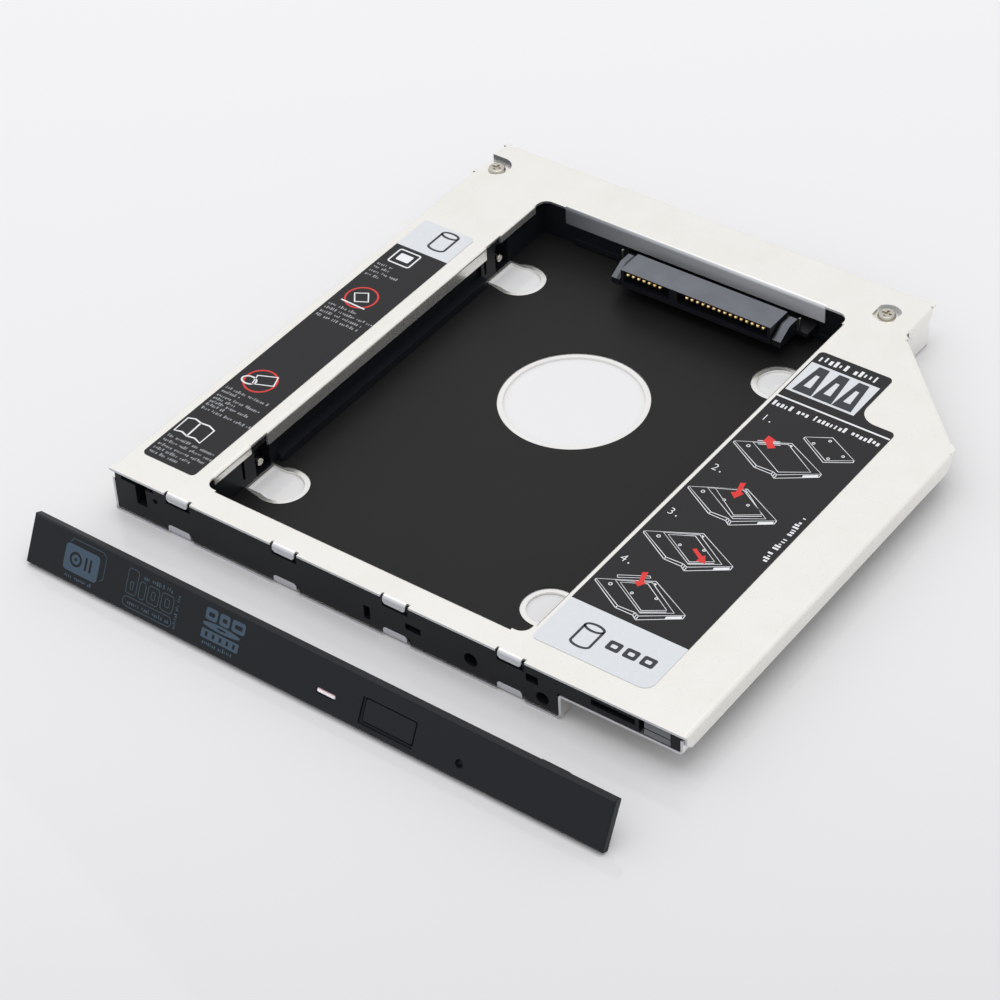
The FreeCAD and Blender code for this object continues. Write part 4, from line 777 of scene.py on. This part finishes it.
def print_fitting_steps(dice):
    """Right label: four steps, each with a tray in line drawing and a red arrow."""
    tray_outline = [(0, 0), (9.3, 5.1), (18.4, 0.6), (11.7, -4.0), (10.7, -3.6), (7.2, -3.8)]
    tray_side = [(0, 0), (0.05, -0.45), (7.1, -4.4), (10.7, -4.35), (11.8, -5.1), (18.5, -0.4), (18.4, 0.6)]
    tray_ribs = [[(7.2, -3.8), (7.1, -4.4)], [(10.7, -3.6), (10.7, -4.35)], [(11.7, -4.0), (11.8, -5.1)],
                 [(11.2, -3.8), (11.3, -4.7)]]
    tray_opening = [(3.1, 1.5), (8.9, 4.5), (16.5, 0.0), (11.5, -3.2)]
    tray_shadow = [(15.8, -1.5), (18.1, 0.1), (18.3, -0.45), (15.9, -2.1)]
    drive_flat = [(4.1, 1.5), (8.4, 3.8), (15.0, -0.1), (11.3, -2.6)]
    drive_raised = [(4.1, 2.3), (9.0, 4.9), (15.3, 0.6), (11.1, -2.3)]
    steps = {"1": (28.8, 69.6, 8.0, None), "2": (28.9, 54.2, 6.3, drive_raised),
             "3": (29.0, 39.6, 6.3, drive_flat), "4": (29.0, 24.4, 6.3, drive_flat)}
    lines = []
    fills = []
    for text, (x, y, number_rise, drive) in steps.items():
        closed = [tray_outline, tray_opening] + ([drive] if drive else [])
        lines += [(moved(points, x, y), True) for points in closed]
        lines += [(moved(points, x, y), False) for points in [tray_side] + tray_ribs]
        lines.append((ring_points(x + 2.9, y + 0.2, 0.32, 0.32, count=12), True))
        if drive:
            far, near = drive[2:]
            drive_side = [(near[0], near[1] - 0.45), (far[0] + 0.2, far[1] - 0.4)]
            lines.append((moved(drive_side, x, y), False))
            for screw_x, screw_y in ((7.4, 0.3), (11.8, 1.4)):
                lines.append((ring_points(x + screw_x, y + screw_y, 0.25, 0.25, count=10), True))
        fills.append(bar(x + 9.3, x + 9.8, y + 4.1, y + 4.6))
        fills.append(moved(tray_shadow, x, y))
        foot = y + number_rise
        numeral(text, x + 0.4, foot)
        fills.append(bar(x + 2.3, x + 2.6, foot, foot + 0.3))
    lines.append(([(39.1, 77.6), (43.5, 80.2), (50.2, 76.7), (45.8, 73.8)], True))
    lines.append(([(39.1, 77.6), (39.1, 77.1), (45.7, 73.2), (50.3, 76.1), (50.2, 76.7)], False))
    for x, y in ((41.4, 76.9), (45.9, 74.6), (43.6, 79.1), (47.9, 76.6)):
        lines.append((ring_points(x, y, 0.25, 0.25, count=10), True))
    lines.append(([(31.6, 27.2), (36.6, 30.1), (37.0, 29.7), (32.0, 26.7)], True))
    for x, y in ((32.3, 72.0), (32.6, 71.6), (32.9, 71.2)):
        lines.append(([(x, y), (x + 3.7, y + 1.9)], False))
    stroke_shapes("label_tray_drawings", lines, HAIRLINE, label_plane(), label_line)
    arrows = [
        [(33.3, 74.3), (35.2, 73.8), (34.8, 73.2), (36.3, 71.9), (35.1, 71.0), (33.9, 72.3), (33.2, 72.2)],
        [(36.2, 60.1), (37.1, 60.6), (37.7, 58.0), (38.4, 57.8), (37.6, 55.8), (36.1, 57.0), (36.9, 57.5)],
        [(38.9, 40.1), (39.4, 40.7), (41.4, 39.5), (41.8, 40.0), (42.9, 38.1), (41.1, 37.9), (41.3, 38.6)],
        [(34.9, 30.2), (35.8, 30.8), (36.5, 28.3), (37.1, 28.1), (36.3, 26.6), (34.9, 27.6), (35.7, 27.9)],
    ]
    fill_shapes("label_red_arrows", arrows, label_plane(1), label_red)
    fills.append(bar(28.0, 52.55, 85.2, 85.62))
    fills += word_marks(28.7, 82.5, 23.3, 1.45, dice)
    fills += word_marks(29.2, 98.3, 13.4, 1.75, dice)
    fills += quarter_turned(word_marks(0, 0, 14.2, 1.2, dice), 51.7, 44.4)
    fill_shapes("right_label_marks", fills, label_plane(), label_line)


def print_handling_signs(dice):
    """Left label: plain signs with rows of fine marks under them."""
    rows = [(13.0, 11.6), (11.6, 12.1), (10.2, 12.2), (8.9, 9.2), (7.7, 7.4),
            (30.0, 10.3), (28.8, 4.3), (27.4, 10.4), (26.3, 5.3), (25.2, 9.6), (24.1, 4.6), (22.8, 12.0),
            (61.7, 7.0), (60.3, 12.0), (58.9, 10.3), (57.5, 10.6),
            (77.3, 4.0), (76.1, 4.0), (74.7, 7.1), (73.3, 4.0)]
    fine_marks = []
    for y, length in rows:
        fine_marks += word_marks(-60.9, y, length, 0.8, dice)
    fill_shapes("left_label_marks", fine_marks, label_plane(), label_grey)
    book = [(-60.9, 15.0), (-61.0, 19.2), (-59.5, 19.7), (-57.9, 19.3), (-56.0, 19.5), (-54.3, 18.9),
            (-54.3, 14.6), (-56.0, 15.2), (-57.7, 14.9), (-59.3, 15.4)]
    signs = [(book, True),
             ([(-57.9, 19.3), (-57.7, 14.9)], False),
             ([(-57.4, 33.8), (-53.4, 35.4), (-54.3, 38.0), (-58.1, 36.4)], True),
             (ring_points(-58.6, 34.4, 1.6, 1.1, count=24), True),
             ([(-58.6, 67.2), (-56.2, 68.6), (-54.5, 66.3), (-56.9, 65.0)], True),
             ([(-59.6, 64.2), (-53.7, 64.0)], False),
             (rounded(-59.8, -54.7, 79.4, 83.9, 0.5), True)]
    stroke_shapes("left_label_signs", signs, 0.36, label_plane(1), label_line)
    fill_shapes("left_label_sign_fill", [rounded(-58.8, -55.7, 80.6, 82.9, 0.3)], label_plane(), label_line)
    rings = [(ring_points(-56.5, y, 3.3, 3.3, count=60), True) for y in (35.3, 66.7)]
    stroke_shapes("left_label_rings", rings, 0.38, label_plane(), label_red)


def print_bezel(dice):
    """Bezel: plain blue-grey shapes in three groups."""
    fills = [rounded(8.6, 16.8, 2.3, 7.5, 0.8)]
    for radius, count in ((1.45, 32), (0.95, 32), (0.35, 16)):
        fills.append(ring_points(11.3, 4.9, radius, radius, count=count))
    for x in (13.5, 14.6):
        fills.append(rounded(x, x + 0.5, 3.6, 6.2, 0.2))
    fills += [ring_points(45.9, 5.25, 4.3, 0.62), ring_points(45.9, 5.25, 1.1, 0.2, count=20),
              bar(41.7, 50.2, 2.5, 4.25)]
    for x, width in ((41.9, 2.7), (45.1, 2.3), (47.9, 3.0)):
        fills.append(rounded(x, x + width, 6.1, 8.35, 0.5))
        fills.append(rounded(x + 0.7, x + width - 0.6, 6.8, 7.6, 0.25))
    for x in (42.6, 44.2, 45.8, 47.4, 48.9):
        fills.append(bar(x, x + 0.55, 2.95, 3.85))
    for x, y, length, height in ((9.4, 1.05, 6.6, 0.75), (27.2, 7.45, 7.2, 0.8), (24.5, 1.65, 9.8, 0.8),
                                 (42.3, 1.35, 7.6, 0.75)):
        fills += word_marks(x, y, length, height, dice)
    fills += quarter_turned(word_marks(0, 0, 7.2, 0.7, dice), 35.9, 1.3)
    fill_shapes("bezel_print_fills", fills, bezel_plane(), bezel_ink, "bezel_plastic")
    lines = [([(9.5, 7.85), (10.0, 8.6), (17.2, 8.65), (18.1, 8.0), (18.2, 3.7), (17.4, 3.1)], False),
             (rounded(23.4, 34.9, 1.1, 3.0, 0.9), True)]
    for left, right, top in ((23.6, 26.0, 8.4), (26.6, 28.0, 6.9), (28.6, 31.2, 6.9), (31.8, 34.6, 6.9)):
        lines.append((rounded(left, right, 3.6, top, 0.6), True))
    for left, right in ((24.5, 25.1), (29.5, 30.3), (32.7, 33.7)):
        lines.append((rounded(left, right, 4.5, 6.0, 0.28), True))
    stroke_shapes("bezel_print_lines", lines, 0.18, bezel_plane(), bezel_line_ink, "bezel_plastic")


dice = random.Random(7)
print_pale_ends()
print_fitting_steps(dice)
print_handling_signs(dice)
print_bezel(dice)


# Floor, light and camera

def studio_floor():
    """Pale glossy table top, with painted shade that makes it a little greyer towards the viewer."""
    material, tree, place = start_material("pale_acrylic_table")
    # Painted shade: the table's colour greys towards the viewer, for the light falling off there
    away = add(tree, "VectorMath", {0: place, 1: (-0.6, 0.8, 0.0)}, operation="DOT_PRODUCT").outputs["Value"]
    depth = rise(tree, away, -TABLE_PAINTED_SHADE_REACH * MM, TABLE_PAINTED_SHADE_REACH * MM)
    painted_light_tint = ramp(tree, depth, (0.2, "C5C5C7"), (0.32, "CDCDCF"), (0.39, "D1D1D2"),
                (0.47, "D4D4D5"), (0.75, "D8D8D9"), (1.0, "DBDBDC"))
    end_material(tree, {"Base Color": painted_light_tint, "Roughness": 0.04, "IOR": 1.45})
    bpy.ops.mesh.primitive_plane_add(size=TABLE_SIZE * MM, location=(0, 0, cad_low.z - TABLE_GAP * MM))
    floor = bpy.context.object
    settle(floor)
    floor.name = "table_top"
    floor.data.materials.append(material)


def soft_lamp(name, place, size, power):
    """Square soft box of so many watts that looks at the caddy."""
    lamp = bpy.data.lights.new(name, "AREA")
    lamp.shape = "RECTANGLE"
    lamp.size = size * MM
    lamp.size_y = size * MM
    lamp.energy = power
    obj = link_new(name, lamp)
    obj.location = at(*place)
    obj.rotation_euler = (at(*LAMP_TARGET) - obj.location).to_track_quat("-Z", "Y").to_euler()


def studio_world():
    """Even pale surroundings, which light the scene a little brighter than the camera sees them."""
    world = bpy.data.worlds.new("studio")
    world.use_nodes = True
    tree = world.node_tree
    tree.nodes.clear()
    path = add(tree, "LightPath")
    seen = add(tree, "Background", {"Color": srgb("EDEDEF"), "Strength": 1.0})
    light = add(tree, "Background", {"Color": srgb("F9F9FA"), "Strength": 0.96})
    mixed = add(tree, "MixShader", {0: path.outputs["Is Camera Ray"], 1: light.outputs["Background"],
                                    2: seen.outputs["Background"]})
    add(tree, "OutputWorld", {"Surface": mixed.outputs["Shader"]})
    bpy.context.scene.world = world


def photo_camera():
    """Camera at the photograph's place, from the fit to the caddy's known sizes."""
    camera = bpy.data.cameras.new("camera")
    camera.lens = CAMERA_LENS
    camera.sensor_width = CAMERA_SENSOR
    camera.clip_start = CAMERA_NEAR * MM
    obj = link_new("camera", camera)
    turn = Matrix((CAMERA_RIGHT, CAMERA_UP, CAMERA_BACK)).transposed().to_4x4()
    obj.matrix_world = Matrix.Translation(at(*CAMERA_PLACE)) @ turn
    bpy.context.scene.camera = obj


studio_floor()
studio_world()
soft_lamp("left_box", (-700, 60, 800), 800, 0.8)
soft_lamp("overhead_box", (120, 60, 1600), 1400, 11.0)
photo_camera()

bpy.context.scene.view_settings.view_transform = "Standard"
